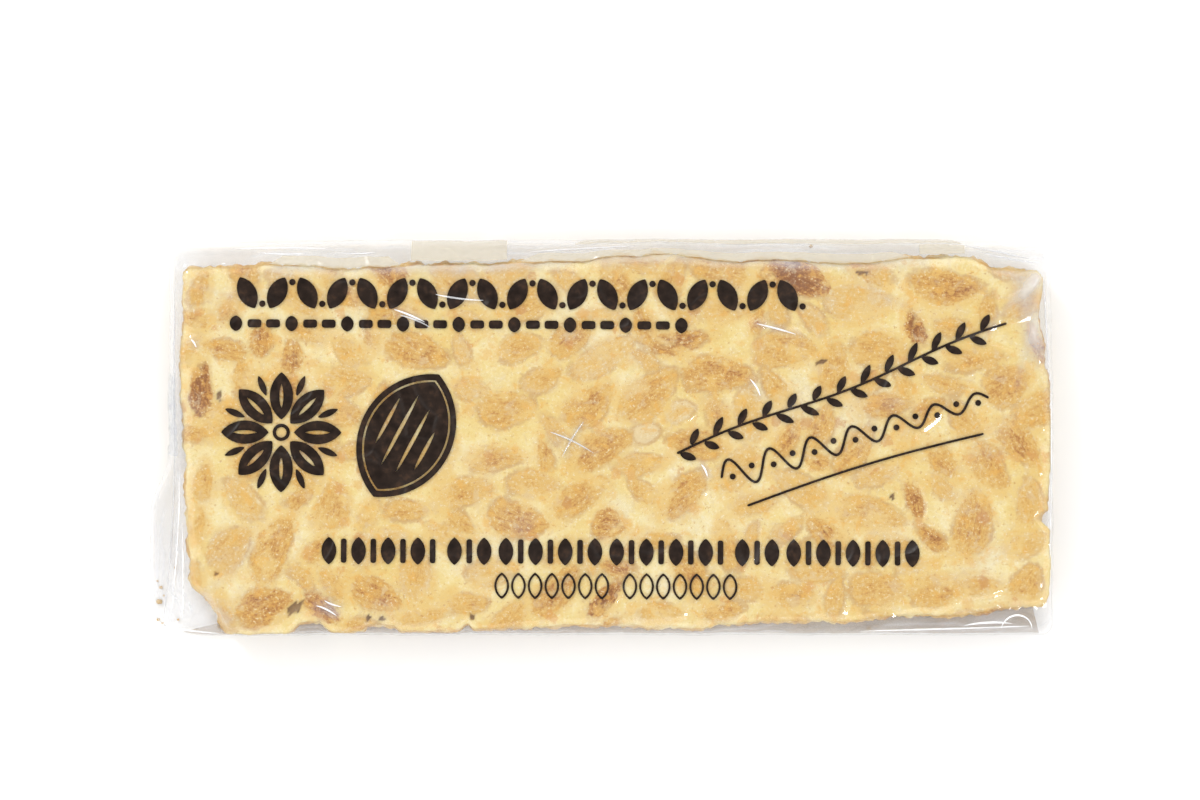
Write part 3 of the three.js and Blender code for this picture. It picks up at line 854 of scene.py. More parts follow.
def nougat_material():
    """Cream nougat with toasted almonds: the almonds' places come with the mesh, and their
    ragged rims, grain, smears of cream and loose chips are worked out here."""
    material, tree, output = new_material("nougat")
    inside, tone = attribute(tree, "almond_inside"), attribute(tree, "almond_tone")
    place = object_place(tree)
    noises = nougat_noises(tree, place, attribute(tree, "almond_grain", "Vector"))

    ragged = total(tree, inside, spread(tree, noises["coarse"], 1.9), spread(tree, noises["fine"], 1.3))
    smear = product(tree, remap(tree, noises["patches"], 0.53, 0.66),
                    remap(tree, noises["fine"], 0.3, 0.5, 0.4, 0.85))
    almond = product(tree, remap(tree, ragged, -0.15, 0.45), calc(tree, "SUBTRACT", 1.0, smear))
    colour = blend_colours(tree, almond, cream_colour(tree, noises, inside),
                           nut_colour(tree, noises, inside, tone))
    colour = add_stains_and_groove_shade(tree, colour, noises, inside, ragged)
    colour = add_chips_and_hollow_shade(tree, colour, noises, place)

    relief = total(tree, product(tree, noises["fine"], 0.6), product(tree, noises["speckle"], 0.3),
                   product(tree, noises["fibres"], almond, 0.7))
    bump = add(tree, "ShaderNodeBump", {"Height": relief, "Strength": 0.3, "Distance": 0.0006})
    rough = remap(tree, noises["coarse"], 0.3, 0.7, 0.45, 0.65)
    shader = add(tree, "ShaderNodeBsdfPrincipled",
                 {"Base Color": colour, "Roughness": rough, "Normal": bump.outputs[0],
                  "Specular IOR Level": 0.3})
    tree.links.new(shader.outputs[0], output.inputs[0])
    return material


def film_material(name, haze_least, haze_most, tint, roughness, scuff_shape=SCUFFS):
    """Clear film: see-through, glossier where it is seen at a slant, milkier in patches where it
    stands off what it wraps, and finely crinkled; where its milkiness runs high it turns white, a painted
    glint."""
    material, tree, output = new_material(name)
    place = object_place(tree)
    patches = noise(tree, place, 75, 4, 0.6, 0.6)
    scuffs = noise(tree, stretch(tree, place, scuff_shape), 520, 4, 0.6, 0.4)
    milk = attribute(tree, "film_milk")
    bump = add(tree, "ShaderNodeBump",
               {"Height": noise(tree, place, 160, 2, 0.5), "Strength": 0.3, "Distance": 0.0006})
    normal = bump.outputs[0]

    shaded = stained(tree, shade(*tint), remap(tree, milk, 0.1, 0.4), MILKY_FILM)
    # High milkiness turns the film white: painted glints on creases and folds
    shaded = blend_colours(tree, remap(tree, milk, 0.35, 0.8), shaded, FILM_GLINT_WHITE)
    warped = total(tree, patches, spread(tree, scuffs, 0.25))
    haze = total(tree, remap(tree, warped, 0.5, 0.72, haze_least, haze_most),
                 product(tree, milk, remap(tree, scuffs, 0.3, 0.7, 0.55, 1.15)))
    slant = add(tree, "ShaderNodeLayerWeight", {"Blend": 0.5, "Normal": normal}).outputs["Facing"]
    mirror = remap(tree, calc(tree, "POWER", slant, 5.0), 0.0, 1.0, FILM_REFLECTS, FILM_REFLECTS_MOST,
                   "LINEAR")

    clear = add(tree, "ShaderNodeBsdfTransparent", {"Color": FILM_CLEAR})
    hazy = add(tree, "ShaderNodeBsdfDiffuse", {"Color": shaded, "Normal": normal})
    gloss = add(tree, "ShaderNodeBsdfGlossy",
                {"Color": (1.0, 1.0, 1.0, 1.0), "Roughness": roughness, "Normal": normal})
    body = add(tree, "ShaderNodeMixShader", {0: haze, 1: clear.outputs[0], 2: hazy.outputs[0]})
    mix = add(tree, "ShaderNodeMixShader", {0: mirror, 1: body.outputs[0], 2: gloss.outputs[0]})
    tree.links.new(mix.outputs[0], output.inputs[0])
    return material


def ink_material():
    """Dark brown ink, a little uneven in density, with the film's sheen."""
    material, tree, output = new_material("ink")
    density = noise(tree, object_place(tree), 500, 4, 0.6)
    shader = add(tree, "ShaderNodeBsdfPrincipled",
                 {"Base Color": shaded_ramp(tree, density, INK),
                  "Roughness": remap(tree, density, 0.3, 0.7, 0.3, 0.42), "Specular IOR Level": 0.25})
    tree.links.new(shader.outputs[0], output.inputs[0])
    return material


# The rim where the wrap leaves the slab's top face, and the film's way from there to the base
def find_rim():
    order = rim_indices(*TOP_CELLS)
    u, v = (share.ravel()[order] for share in square_grid(*TOP_CELLS))
    x, y = place_in_outline(slab_outline, u, v)
    film_x, film_y = place_in_outline(film_outline, u, v)
    gap = np.hypot(film_x - x, film_y - y)
    steps = np.hypot(np.diff(x, append=x[0]), np.diff(y, append=y[0]))
    tongue = np.clip((FILM_LEFT - film_x) / TONGUE_REACH, 0, 1)
    return {
        "x": x, "y": y, "z": film_height(x, y) - SLAB_EDGE_DROP,
        "along": np.concatenate([[0], np.cumsum(steps)[:-1]]), "gap": gap,
        "out_x": (film_x - x) / gap, "out_y": (film_y - y) / gap, "tongue": tongue,
        "crease": mixed(CREASE_HEIGHT, TONGUE_HEIGHT, tongue), "roomy": np.minimum(gap / ROOMY_GAP, 1),
        "tuck": np.minimum(CREASE_UNDERCUT / gap, MOST_TUCK),
    }


rim = find_rim()


def loop_points(outward, height):
    return np.column_stack([rim["x"] + rim["out_x"] * outward, rim["y"] + rim["out_y"] * outward, height])


def film_reach(height):
    """How far out of the slab's rim the plain wall of the film stands at a height."""
    fall = np.clip((height - rim["crease"]) / (rim["z"] - rim["crease"]), 0, 1)
    wall = mixed(np.sqrt(1 - fall ** 2), 1 - fall ** (1 / TONGUE_CURVE), rim["tongue"])
    sink = np.clip((rim["crease"] - height) / (rim["crease"] - FILM_BASE), 0, 1)
    return rim["gap"] * np.where(height > rim["crease"], wall, 1 - rim["tuck"] * (1 - np.sqrt(1 - sink ** 2)))


def facing(*parts):
    return (np.clip(part, 0, 1) ** 2 for part in parts)


def side_folds(share):
    """The height of the fold lines that run round the wrap, at a share of the way down."""
    along = rim["along"]
    folds = np.zeros(along.shape)
    for middle, size, seed in SIDE_FOLDS:
        line = middle + SIDE_FOLD_WANDER * ripple(along, WANDER_LENGTH, seed)
        shown = smooth(ripple(along, SHOWN_LENGTH, seed + 1), -0.3, 0.3)
        folds += size * ridge(share - line, SIDE_FOLD_WIDTH) * shown
    return folds


def side_milkiness_and_painted_light(share, folds):
    front, left = facing(-rim["out_y"], -rim["out_x"])
    slant, wavelength, seed = MILK_WAVE
    swell = 1 + MILK_SWELL * ripple(rim["along"] + slant * share, wavelength, seed)
    near = 1 - smooth(share, 0.2, 0.5)
    # More milk at the front: partly painted shade of the slab on the front margin
    side = SIDE_MILK + FRONT_MILK_AND_SHADE * front + near * LEFT_MILK * left
    return (smooth(share, 0, 0.2) * side * swell + FOLD_MILK_AND_GLINT * folds
            + EDGE_MILK * smooth(share, 0.93, 1.0))


def film_wall():
    """Loops of points from the slab's rim out to the crease, and how milky the film is there, with painted
    shade towards the front and painted glints on the folds.
    """
    loops = [loop_points(np.zeros(rim["x"].shape), rim["z"])]
    along, roomy, crease = rim["along"], rim["roomy"], rim["crease"]
    milk = [np.zeros(along.shape)]
    front, back = facing(-rim["out_y"], rim["out_y"])
    calm = 1 - SIDE_CALM * (front + back)
    for row in range(1, FILM_WALL_ROWS + 1):
        share = row / FILM_WALL_ROWS
        soft, sharp, crinkle = (size * ripple(along + slant * share, wavelength, seed)
                                for slant, wavelength, seed, size in (SOFT_PLEATS, SHARP_PLEATS, CRINKLES))
        loose = np.sin(np.pi * share) * roomy * calm * (soft + np.abs(sharp) + crinkle)
        folds = side_folds(share)
        out = mixed(np.sin(share * np.pi / 2), share, rim["tongue"])
        fall = mixed(np.cos(share * np.pi / 2), (1 - share) ** TONGUE_CURVE, rim["tongue"])
        height = crease + (rim["z"] - crease) * fall + roomy * (0.5 * crinkle + folds)
        loops.append(loop_points(out * rim["gap"] + loose, height))
        milk.append(side_milkiness_and_painted_light(share, folds))
    return loops, np.clip(milk, 0, MOST_SIDE_MILK)


def film_tuck():
    """Loops of points from the crease in to the base."""
    loops = []
    for row in range(1, FILM_TUCK_ROWS + 1):
        angle = row / FILM_TUCK_ROWS * np.pi / 2
        outward = rim["gap"] * (1 - rim["tuck"] * (1 - math.cos(angle)))
        loops.append(loop_points(outward, mixed(rim["crease"], FILM_BASE, math.sin(angle))))
    return loops


def build_film(material, wall, milk):
    u, v = square_grid(*TOP_CELLS)
    x, y = place_in_outline(slab_outline, u, v)
    creases = crease_height(x, y)
    top = listed(x, y, drape_height(x, y) + creases - drop_at_edge(x, y, edge_distance(u, v)))
    loops = wall[1:] + film_tuck()
    points = np.concatenate([top, *loops, base_points(film_outline, FILM_BASE)])
    milkiness_and_painted_light = np.zeros(len(points))
    # Creases and hazy places: partly the film's haze, partly painted glints and glare
    milkiness_and_painted_light[:len(top)] = np.minimum(CREASE_GLINT_MILK * creases + haze_and_glare_level(x, y), MOST_MILK).ravel()
    milkiness_and_painted_light[len(top):len(top) + milk[1:].size] = milk[1:].ravel()
    return make_piece("film_wrap", points, shell_faces(len(loops)), material, "film",
                      {"film_milk": milkiness_and_painted_light})


# Folds and patches of film that lie on the wrap's side
def nearest_column(x, y):
    return int(np.argmin(np.hypot(rim["x"] - x, rim["y"] - y)))


def sample_wall(wall, column, share):
    """Points of the film's side, a little proud of it, at columns of the rim and shares of the
    way down."""
    grid = np.array(wall)
    row = np.clip(share * FILM_WALL_ROWS, 0, FILM_WALL_ROWS - 1e-6)
    row_low, column_low = np.floor(row).astype(int), np.floor(column).astype(int)
    row_part, column_part = (row - row_low)[..., None], (column - column_low)[..., None]
    count = grid.shape[1]
    corners = [grid[row_low + i, (column_low + j) % count] for i in (0, 1) for j in (0, 1)]
    upper = mixed(corners[0], corners[1], column_part)
    lower = mixed(corners[2], corners[3], column_part)
    outward = (PATCH_PROUD * rim[key][column_low % count] for key in ("out_x", "out_y"))
    proud = np.stack([*outward, np.full(column.shape, PATCH_RAISED)], axis=-1)
    return mixed(upper, lower, row_part) + proud


def build_side_patch(name, wall, material, start, end, shares, taper=0.0, cells=(60, 16)):
    """A strip of film on the side, from one place of the rim to another, counter-clockwise, and
    narrowing on the way down by taper of its length at each end."""
    first, last = nearest_column(*start), nearest_column(*end)
    if first > last:
        first -= len(rim["x"])
    s, t = np.meshgrid(np.linspace(0, 1, cells[0] + 1), np.linspace(0, 1, cells[1] + 1))
    narrowed = mixed(taper * t, 1 - taper * t, s)
    column = first + narrowed * (last - first)
    points = sample_wall(wall, column, mixed(*shares, t))
    return make_piece(name, points.reshape(-1, 3), grid_faces(*cells, flipped=True), material, "film")


def build_front_strip(material):
    """A strip of film that is folded in along the foot of the front side, coloured grey-beige as painted
    shadow of the slab on the floor beneath.
    """
    first, last = (nearest_column(*place) for place in FRONT_STRIP_ENDS)
    rows = []
    for share in np.linspace(0, 1, FRONT_STRIP_ROWS + 1):
        height = np.full(rim["x"].shape, mixed(*FRONT_STRIP_HEIGHTS, share))
        outward = mixed(-FRONT_STRIP_UNDER, film_reach(height) - FRONT_STRIP_CLEAR, share)
        rows.append(loop_points(outward, height)[first:last + 1])
    return make_piece("film_strip_front", np.concatenate(rows), grid_faces(last - first, FRONT_STRIP_ROWS),
                      material, "film")


def build_folds(wall, clear, beige, grey, front):
    ends = {"shares": (0.06, 1), "taper": 0.2, "cells": (140, 20)}
    build_side_patch("film_end_fold_left", wall, clear, (SLAB_LEFT, 36), (SLAB_LEFT, -30), **ends)
    build_side_patch("film_end_fold_right", wall, clear, (SLAB_RIGHT, -36), (SLAB_RIGHT, 34), **ends)
    for name, start, end, *rest in BACK_STRIPS:
        build_side_patch(name, wall, beige, (start, SLAB_BACK), (end, SLAB_BACK), *rest)
    build_side_patch("film_patch_left", wall, grey, (SLAB_LEFT, 12.1), (SLAB_LEFT, -5), (0.25, 1))
    build_front_strip(front)


def make_strand(line, height, radius):
    """Points and faces of a thin tapering strand along a line of points."""
    steps = np.gradient(line, axis=0)
    sideways = np.column_stack([-steps[:, 1], steps[:, 0]]) / np.hypot(*steps.T)[:, None]
    taper = radius * np.maximum(np.sin(np.linspace(0, np.pi, len(line))), STRAND_ENDS) ** 0.5
    turn = np.linspace(0, 2 * np.pi, STRAND_SIDES, endpoint=False)
    flat = line[:, None] + sideways[:, None] * (taper[:, None] * np.cos(turn))[..., None]
    lift = height[:, None] + taper[:, None] * np.sin(turn)
    points = np.concatenate([flat, lift[..., None]], axis=2).reshape(-1, 3)
    rings = np.arange(len(points)).reshape(-1, STRAND_SIDES)
    faces = [tuple(face) for upper, lower in zip(rings, rings[1:]) for face in band_faces(lower, upper)]
    return points, faces + [tuple(rings[0][::-1]), tuple(rings[-1])]


def build_strands(name, wall, runs, radius, material):
    """Sharp folds: strands on the film, over its top face or out on its side, with milkiness, whose white
    paints their glints.
    """
    side = np.concatenate(wall)
    around = np.full(STRAND_SMOOTHING, 1 / STRAND_SMOOTHING)
    strands, milk = [], []
    for line, milkiness_and_painted_light in runs:
        gaps = np.hypot(side[:, :1] - line[:, 0], side[:, 1:2] - line[:, 1])
        over_top = film_height(*line.T)
        height = np.where(gaps.min(axis=0) < STRAND_CATCH, side[gaps.argmin(axis=0), 2], over_top)
        height = np.convolve(np.pad(height, STRAND_SMOOTHING // 2, "edge"), around, "valid")
        strands.append(make_strand(line, height + STRAND_LIFT * radius, radius))
        milk.append(np.full(len(strands[-1][0]), milkiness_and_painted_light))
    return make_piece(name, *joined(strands), material, "film", {"film_milk": np.concatenate(milk)})


def build_creases(wall, material):
    turn = np.linspace(*ARCH_TURN, STRAND_STEPS)
    arch = np.array(ARCH_MIDDLE) + ARCH_RADIUS * np.column_stack([np.cos(turn), np.sin(turn)])
    creases = [(bent(run), milk) for run, _, milk in FILM_CREASES if milk]
    margins = [(bent(run), milk) for run, milk in MARGIN_FOLDS]
    build_strands("film_creases", wall, creases, CREASE_RADIUS, material)
    build_strands("film_margin_folds", wall, margins + [(arch, 1.0)], MARGIN_RADIUS, material)


# The nougat slab
def slab_top():
    """Points and almond fields of the top face, and its small gaps."""
    u, v = square_grid(*TOP_CELLS)
    x, y = place_in_outline(slab_outline, u, v)
    fields = almond_fields(top_almonds, x, y)
    inside = fields["inside"].reshape(x.shape)
    pits = pit_depth(x, y)
    z = (drape_height(x, y) - drop_at_edge(x, y, edge_distance(u, v)) - SLAB_CLEAR
         - TOP_GROOVE * ridge(inside, TOP_GROOVE_WIDTH)
         + summed_waves(CRUMBLE_WAVES, x, y) * (inside < 0) - pits)
    return listed(x, y, z), fields, pits.ravel()


def slab_side(top_z, almonds, row):
    """Points and almond fields of one row round the sides, from the top face's rim down."""
    along, back = rim["along"], np.clip(rim["out_y"], 0, 1)
    share = (row / SLAB_WALL_ROWS) ** SIDE_CROWDING
    height = mixed(top_z, SLAB_CLEAR, share)
    from_top = almond_fields(top_almonds, rim["x"] + rim["out_x"], rim["y"] + rim["out_y"])
    side = deeper_of(almond_fields(almonds, along, height), from_top, TOP_REACH_DOWN * share)
    # Sides toastier, and the back side's almonds painted paler to lift the shade on the back edge
    side["tone"] = side["tone"] + (SIDE_TOAST - BACK_PAINTED_PALER * back) * smooth(share, 0.0, 0.3)
    swell = SIDE_SWELL + SIDE_SWELL_RIPPLE * ripple(along, *SIDE_SWELL_WAVE)
    relief = (summed_waves(BROKEN_WAVES, along, height) + ALMOND_PROUD * side["dome"]
              - ALMOND_GROOVE * ridge(side["inside"], ALMOND_GROOVE_WIDTH))
    outward = (swell * math.sin(min(share / SWELLED_AT, 1) * np.pi / 2)
               + smooth(share, 0, RELIEF_AT) * relief + BACK_PROUD * back * smooth(share, 0.05, 0.6))
    outward -= SLAB_FOOT * smooth(share, FOOT_AT, 1)
    return loop_points(np.minimum(outward, film_reach(height) - FILM_SLACK), height), side


def build_slab(material):
    top, top_fields, pits = slab_top()
    top_z = top[rim_indices(*TOP_CELLS), 2]
    side_almonds = scatter_almonds([], (0, rim["along"][-1]), (1, FILM_TOP - 1), SIDE_TRIES, SIDE_SEED)
    sides = [slab_side(top_z, side_almonds, row) for row in range(1, SLAB_WALL_ROWS + 1)]
    base = base_points(slab_outline, SLAB_CLEAR)
    base_almonds = scatter_almonds([], ALONG, ACROSS, BASE_TRIES, BASE_SEED)

    points = np.concatenate([top, *(loop for loop, _ in sides), base])
    fields = [top_fields, *(field for _, field in sides), almond_fields(base_almonds, *base[:, :2].T)]
    attributes = {"almond_" + key: np.concatenate([part[key] for part in fields])
                  for key in ("inside", "tone", "grain")}
    # The gaps' depth, by which the nougat paints shade into them
    attributes["nougat_painted_hollow_shade"] = np.pad(pits, (0, len(points) - len(pits)))
    return make_piece("nougat_slab", points, shell_faces(SLAB_WALL_ROWS), material, "nougat", attributes)


# Crumbs loose in the wrap: x, y, height and size
CRUMBS = [
    (-102.6, -35.1, 0.5, 0.45), (-102.9, -38.4, 0.6, 0.75), (-101.9, -37.0, 0.4, 0.3),
    (-103.4, -33.6, 0.3, 0.25), (-103.2, -42.6, 0.4, 0.4), (-102.2, -43.4, 0.4, 0.3),
    (-98.6, -42.6, 0.5, 0.35), (-88.9, -44.3, 0.6, 0.5), (-58.0, -45.2, 0.6, 0.35),
    (-33.0, -45.0, 0.6, 0.4), (62.6, -44.6, 0.7, 0.55), (74.0, -43.9, 0.7, 0.4), (49.0, 44.4, 4.6, 0.5),
    (101.0, -42.2, 0.6, 0.35), (-99.2, -30.5, 0.5, 0.3), (20.0, -44.9, 0.6, 0.3),
]
CRUMB_FLATNESS = (1, 0.75, 0.6)
CRUMB_LUMPINESS = 0.28
CRUMB_SEED = 800
CRUMB_TONE = 0.45


def make_crumb(x, y, height, size, turn):
    ball = bmesh.new()
    bmesh.ops.create_icosphere(ball, subdivisions=2, radius=1)
    points = []
    for vertex in ball.verts:
        lump = 1 + CRUMB_LUMPINESS * math.sin(5 * vertex.co.x + turn) * math.cos(4 * vertex.co.y)
        points.append(np.array((x, y, height)) + np.array(vertex.co) * size * lump * CRUMB_FLATNESS)
    faces = [tuple(vertex.index for vertex in face.verts) for face in ball.faces]
    ball.free()
    return points, faces


def build_crumbs(material):
    points, faces = joined(make_crumb(*crumb, 9 * draw(CRUMB_SEED + index))
                           for index, crumb in enumerate(CRUMBS))
    attributes = {"almond_inside": np.ones(len(points)), "almond_tone": np.full(len(points), CRUMB_TONE),
                  "almond_grain": points}
    return make_piece("nougat_crumbs", points, faces, material, "nougat", attributes)


# The print: simple shapes, each a signed distance that is negative inside the ink
INK_LIFT = 0.07
INK_STEP = 0.33
PRINT_TURN = math.radians(-0.3)


def disc(x, y, radius):
    return np.hypot(x, y) - radius


def ring(x, y, radius, width):
    return np.abs(np.hypot(x, y) - radius) - width / 2


def bar(x, y, length, width, rounding=0.2):
    dx = np.abs(x) - length / 2 + rounding
    dy = np.abs(y) - width / 2 + rounding
    return np.hypot(np.maximum(dx, 0), np.maximum(dy, 0)) + np.minimum(np.maximum(dx, dy), 0) - rounding


def kernel(x, y, length, width, lean=0.0):
    """A pointed oval, where two discs overlap, leaning by degrees from the X axis."""
    x, y = placed(x, y, (0, 0), lean)
    radius = (length ** 2 / width + width) / 4
    offset = radius - width / 2
    return np.maximum(np.hypot(x, y - offset), np.hypot(x, y + offset)) - radius


def stroke(x, y, run, width):
    return distance_to_run(x, y, run) - width / 2


def merged(shapes):
    return np.minimum.reduce(list(shapes))


def cleared(ink, *holes):
    """The ink without what lies in the holes."""
    return np.maximum.reduce([ink, *(-hole for hole in holes)])


def placed(x, y, middle, lean=0.0):
    """Where points lie for a shape that is drawn at a middle, leaning by degrees."""
    return turned(x - middle[0], y - middle[1], math.radians(lean))


def row_of(x, y, start, pitch, count, shape):
    return merged(shape(x - start[0] - index * pitch, y - start[1], index) for index in range(count))


def headline(x, y):
    """A close frieze of kernels that lean by turns, with a dot in each gap."""
    start, pitch, count = (-81.6, 32.95), 6.92, 19
    length, width, lean = 8.0, 4.3, 26
    dot_rise, dot_radius = 2.5, 0.75

    def shape(along, up, index):
        side = 1 if index % 2 else -1
        return np.minimum(kernel(along, up, length, width, 90 - side * lean),
                          disc(along - pitch / 2, up - dot_rise * side, dot_radius))
    return row_of(x, y, start, pitch, count, shape)


def dashed_line(x, y):
    """Two dashes and a small upright kernel by turns."""
    start, pitch, count = (-84.2, 25.9), 4.28, 25

    def shape(along, up, index):
        return bar(along, up, 3.2, 1.9, 0.6) if index % 3 else kernel(along, up, 3.6, 2.9, 90)
    return row_of(x, y, start, pitch, count, shape)


def flower(x, y):
    """Broad kernels with a clear slit round a ring, and a slim one in each gap."""
    x, y = placed(x, y, (-73.6, 0.8))
    petals, petal_at, slim_at = 8, 8.4, 11.6
    step = 360 / petals
    shapes = [ring(x, y, 1.6, 0.8)]
    for index in range(petals):
        along, across = placed(x, y, (0, 0), step * index)
        slit = kernel(along - petal_at, across, 6.0, 0.9)
        shapes.append(cleared(kernel(along - petal_at, across, 11.0, 5.4), slit))
        along, across = placed(x, y, (0, 0), step * (index + 0.5))
        shapes.append(kernel(along - slim_at, across, 5.2, 1.5))
    return merged(shapes)


def large_kernel(x, y):
    """A large kernel that leans, with a clear line inside its edge and clear lines for its grain."""
    x, y = placed(x, y, (-44.8, 0.2), 62)
    half_line, grain_width, grain_skew = 0.22, 0.85, 0.2
    grain = [(-5.4, 11.0), (-1.9, 18.0), (1.9, 20.0), (5.4, 13.0)]
    edge_line = np.abs(kernel(x, y, 28.4, 18.4)) - half_line
    lines = [kernel(x - grain_skew * middle, y - middle, length, grain_width) for middle, length in grain]
    return cleared(kernel(x, y, 32.0, 21.5), edge_line, *lines)


def sprig(x, y):
    """A rising twig with slim leaves on both sides."""
    start, end = (17.6, -3.6), (93.6, 26.6)
    leaves, pitch, lengths, width, lean, seed = 26, 3.0, (3.9, 4.9), 1.75, 42, 500
    length = math.dist(start, end)
    along, across = turned(x - start[0], y - start[1], math.atan2(end[1] - start[1], end[0] - start[0]))
    across = across - 0.7 * np.sin(along / 9)
    shapes = [bar(along - length / 2, across, length, 0.55)]
    for index in range(leaves):
        side = 1 if index % 2 else -1
        at = 2.2 + index * pitch
        leaf_length = draw_between(lengths, seed + index)
        shapes.append(kernel(along - at, across - side * width, leaf_length, width, side * lean))
    return merged(shapes)


def wave_line(x, y):
    """A thin rising wave with a dot in each bend, over a plain underline."""
    length, bends = 64, 6.5
    dots = int(2 * bends)
    along, across = placed(x, y, (28.0, -9.0), 17)
    steps = np.linspace(0, 1, 120)
    wave = [(length * t, (3.6 - 2.0 * t) * math.sin(2 * math.pi * bends * t)) for t in steps]
    shapes = [stroke(along, across, wave, 0.6)]
    shapes += [disc(along - length * (index + 0.5) / dots, across + (-1) ** index * 0.6, 0.7)
               for index in range(dots)]
    under = [(4.0 + 60 * t, -8.0 + 1.2 * math.sin(math.pi * t)) for t in steps[::8]]
    shapes.append(stroke(along, across, under, 0.55))
    return merged(shapes)


def grouped_row(x, y, start, groups, pitch, gap, shape):
    """Groups of so many shapes, with a gap after each group."""
    shapes = []
    at, middle = start
    for group in groups:
        for index in range(group):
            shapes.append(shape(x - at, y - middle, index))
            at += pitch
        at += gap
    return merged(shapes)


def bottom_row(x, y):
    """Upright kernels and narrow bars by turns."""
    def shape(along, up, index):
        return bar(along, up, 1.3, 5.6, 0.5) if index % 2 else kernel(along, up, 6.4, 3.4, 90)
    return grouped_row(x, y, (-62.5, -26.4), (8, 3, 7, 8, 3, 9), 3.42, 1.6, shape)


def thin_row(x, y):
    """Thin open kernels."""
    def shape(along, up, _):
        return np.abs(kernel(along, up, 5.6, 2.9, 90)) - 0.25
    return grouped_row(x, y, (-22.6, -34.3), (7, 7), 3.85, 2.6, shape)


# Where each design is drawn, with room round it: its span in X and in Y
PRINT_AREAS = [
    (headline, (-88, 50), (28, 38)),
    (dashed_line, (-87, 22), (23, 29)),
    (flower, (-89, -58), (-15, 16.5)),
    (large_kernel, (-59, -31), (-17, 17.5)),
    (sprig, (14, 99), (-8, 32)),
    (wave_line, (26, 95), (-20, 15)),
    (bottom_row, (-66, 76), (-30.5, -22)),
    (thin_row, (-26, 36), (-38, -31)),
]


def inked_area(shape, span_x, span_y):
    """The part of a fine triangle grid that lies inside a shape, cut along its outline."""
    across_x, across_y = (np.arange(low, high + INK_STEP, INK_STEP) for low, high in (span_x, span_y))
    x, y = np.meshgrid(across_x, across_y)
    depth = shape(*turned(x, y, PRINT_TURN)).ravel()
    flat = np.column_stack([x.ravel(), y.ravel()])
    quads = grid_faces(len(across_x) - 1, len(across_y) - 1)
    triangles = np.concatenate([quads[:, [0, 1, 2]], quads[:, [0, 2, 3]]])
    wet = depth[triangles] < 0
    faces = [tuple(triangle) for triangle in triangles[wet.all(axis=1)]]
    points = list(flat)
    cuts = {}

    def cut(a, b):
        key = (min(a, b), max(a, b))
        if key not in cuts:
            t = depth[a] / (depth[a] - depth[b])
            points.append(flat[a] + (flat[b] - flat[a]) * t)
            cuts[key] = len(points) - 1
        return cuts[key]

    partly = wet.any(axis=1) & ~wet.all(axis=1)
    for triangle, sides in zip(triangles[partly], wet[partly]):
        loop = []
        for here in range(3):
            after = (here + 1) % 3
            if sides[here]:
                loop.append(triangle[here])
            if sides[here] != sides[after]:
                loop.append(cut(triangle[here], triangle[after]))
        faces.append(tuple(loop))
    used = sorted({index for face in faces for index in face})
    renumbered = {index: place for place, index in enumerate(used)}
    return (np.array([points[index] for index in used]),
            [tuple(renumbered[index] for index in face) for face in faces])


def build_print(material):
    designs = []
    for area in PRINT_AREAS:
        flat, cells = inked_area(*area)
        designs.append((np.column_stack([flat, film_height(*flat.T) + INK_LIFT]), cells))
    return make_piece("film_print", *joined(designs), material, "print")


# Floor, lights and camera, in metres and watts
FLOOR_HALF = 3.0
LAMP_SIZE = 0.25
LAMPS = [("key", (-0.7, 0.8, 1.1), 6.5), ("fill", (0.5, -0.4, 1.3), 4.0)]
# The white tent of light, and the darker opening overhead, where the camera looks in
TENT_LEVEL = 1.5
OPENING_LEVEL = 0.2
OPENING_ELEVATIONS = (64, 76)


def build_floor():
    material, tree, output = new_material("floor")
    colour = ramp(tree, noise(tree, object_place(tree), 4), FLOOR)
    shader = add(tree, "ShaderNodeBsdfDiffuse", {"Color": colour})
    tree.links.new(shader.outputs[0], output.inputs[0])
    mesh = bpy.data.meshes.new("floor")
    corners = [(-1, -1), (1, -1), (1, 1), (-1, 1)]
    mesh.from_pydata([(FLOOR_HALF * x, FLOOR_HALF * y, 0) for x, y in corners], [], [(0, 1, 2, 3)])
    mesh.materials.append(material)
    floor = put_in_scene("floor", mesh)


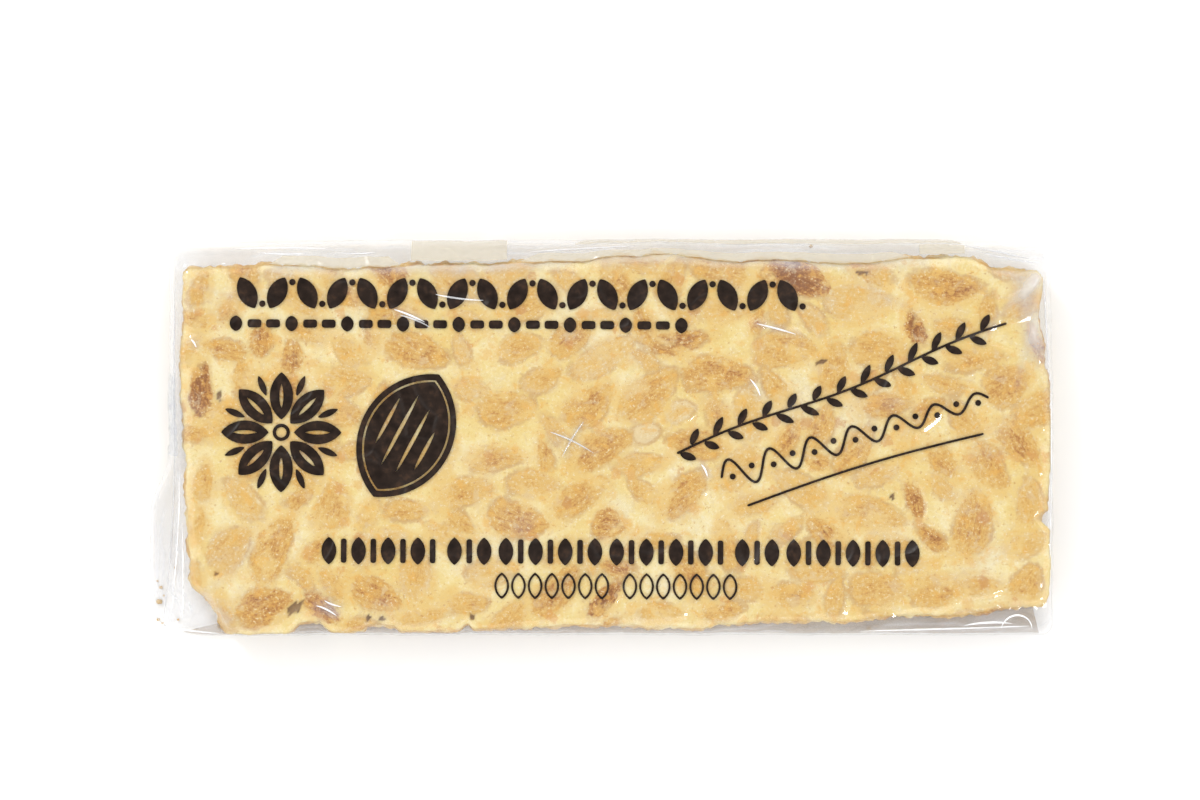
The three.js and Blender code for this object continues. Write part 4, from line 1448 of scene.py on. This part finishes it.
def add_lamp(name, place, power):
    light = bpy.data.lights.new(name, "AREA")
    light.shape = "SQUARE"
    light.size = LAMP_SIZE
    light.energy = power
    lamp = put_in_scene(name, light)
    lamp.location = place
    lamp.rotation_euler = (-Vector(place)).to_track_quat("-Z", "Y").to_euler()


def build_world():
    world = bpy.data.worlds.new("studio")
    world.use_nodes = True
    tree = world.node_tree
    background = tree.nodes["Background"]
    direction = add(tree, "ShaderNodeTexCoord").outputs["Generated"]
    height = add(tree, "ShaderNodeSeparateXYZ", {0: direction}).outputs[2]
    start, end = (math.sin(math.radians(elevation)) for elevation in OPENING_ELEVATIONS)
    background.inputs[0].default_value = (1.0, 1.0, 1.0, 1.0)
    tree.links.new(remap(tree, height, start, end, TENT_LEVEL, OPENING_LEVEL), background.inputs[1])
    bpy.context.scene.world = world


def build_camera():
    camera = bpy.data.cameras.new("camera")
    camera.sensor_width = SENSOR_WIDTH
    camera.lens = SENSOR_WIDTH * CAMERA_HEIGHT * PIXELS_PER_MM / IMAGE_WIDTH
    holder = put_in_scene("camera", camera)
    holder.location = (VIEW_MIDDLE[0] * MM, VIEW_MIDDLE[1] * MM, (FILM_TOP + CAMERA_HEIGHT) * MM)
    bpy.context.scene.camera = holder


build_camera()
build_world()
for lamp in LAMPS:
    add_lamp(*lamp)
build_floor()
bpy.context.scene.view_settings.view_transform = "Standard"

nougat = nougat_material()
clear_film = film_material("clear_film", 0.0, 0.07, (236, 240, 250), 0.07)
beige_film = film_material("beige_film", 0.6, 0.8, (220, 209, 184), 0.2)
grey_film = film_material("grey_film", 0.25, 0.45, (208, 212, 220), 0.15)
# The front strip's grey-beige film is painted shadow of the slab in the front margin
front_shadow_film = film_material("front_shadow_film", 0.55, 0.85, (200, 184, 164), 0.2, STREAKS)
side_wall, side_milk_and_painted_light = film_wall()

nougat_slab = build_slab(nougat)
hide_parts(NODE)
build_crumbs(nougat)
build_film(clear_film, side_wall, side_milk_and_painted_light)
build_folds(side_wall, clear_film, beige_film, grey_film, front_shadow_film)
build_creases(side_wall, clear_film)
build_print(ink_material())
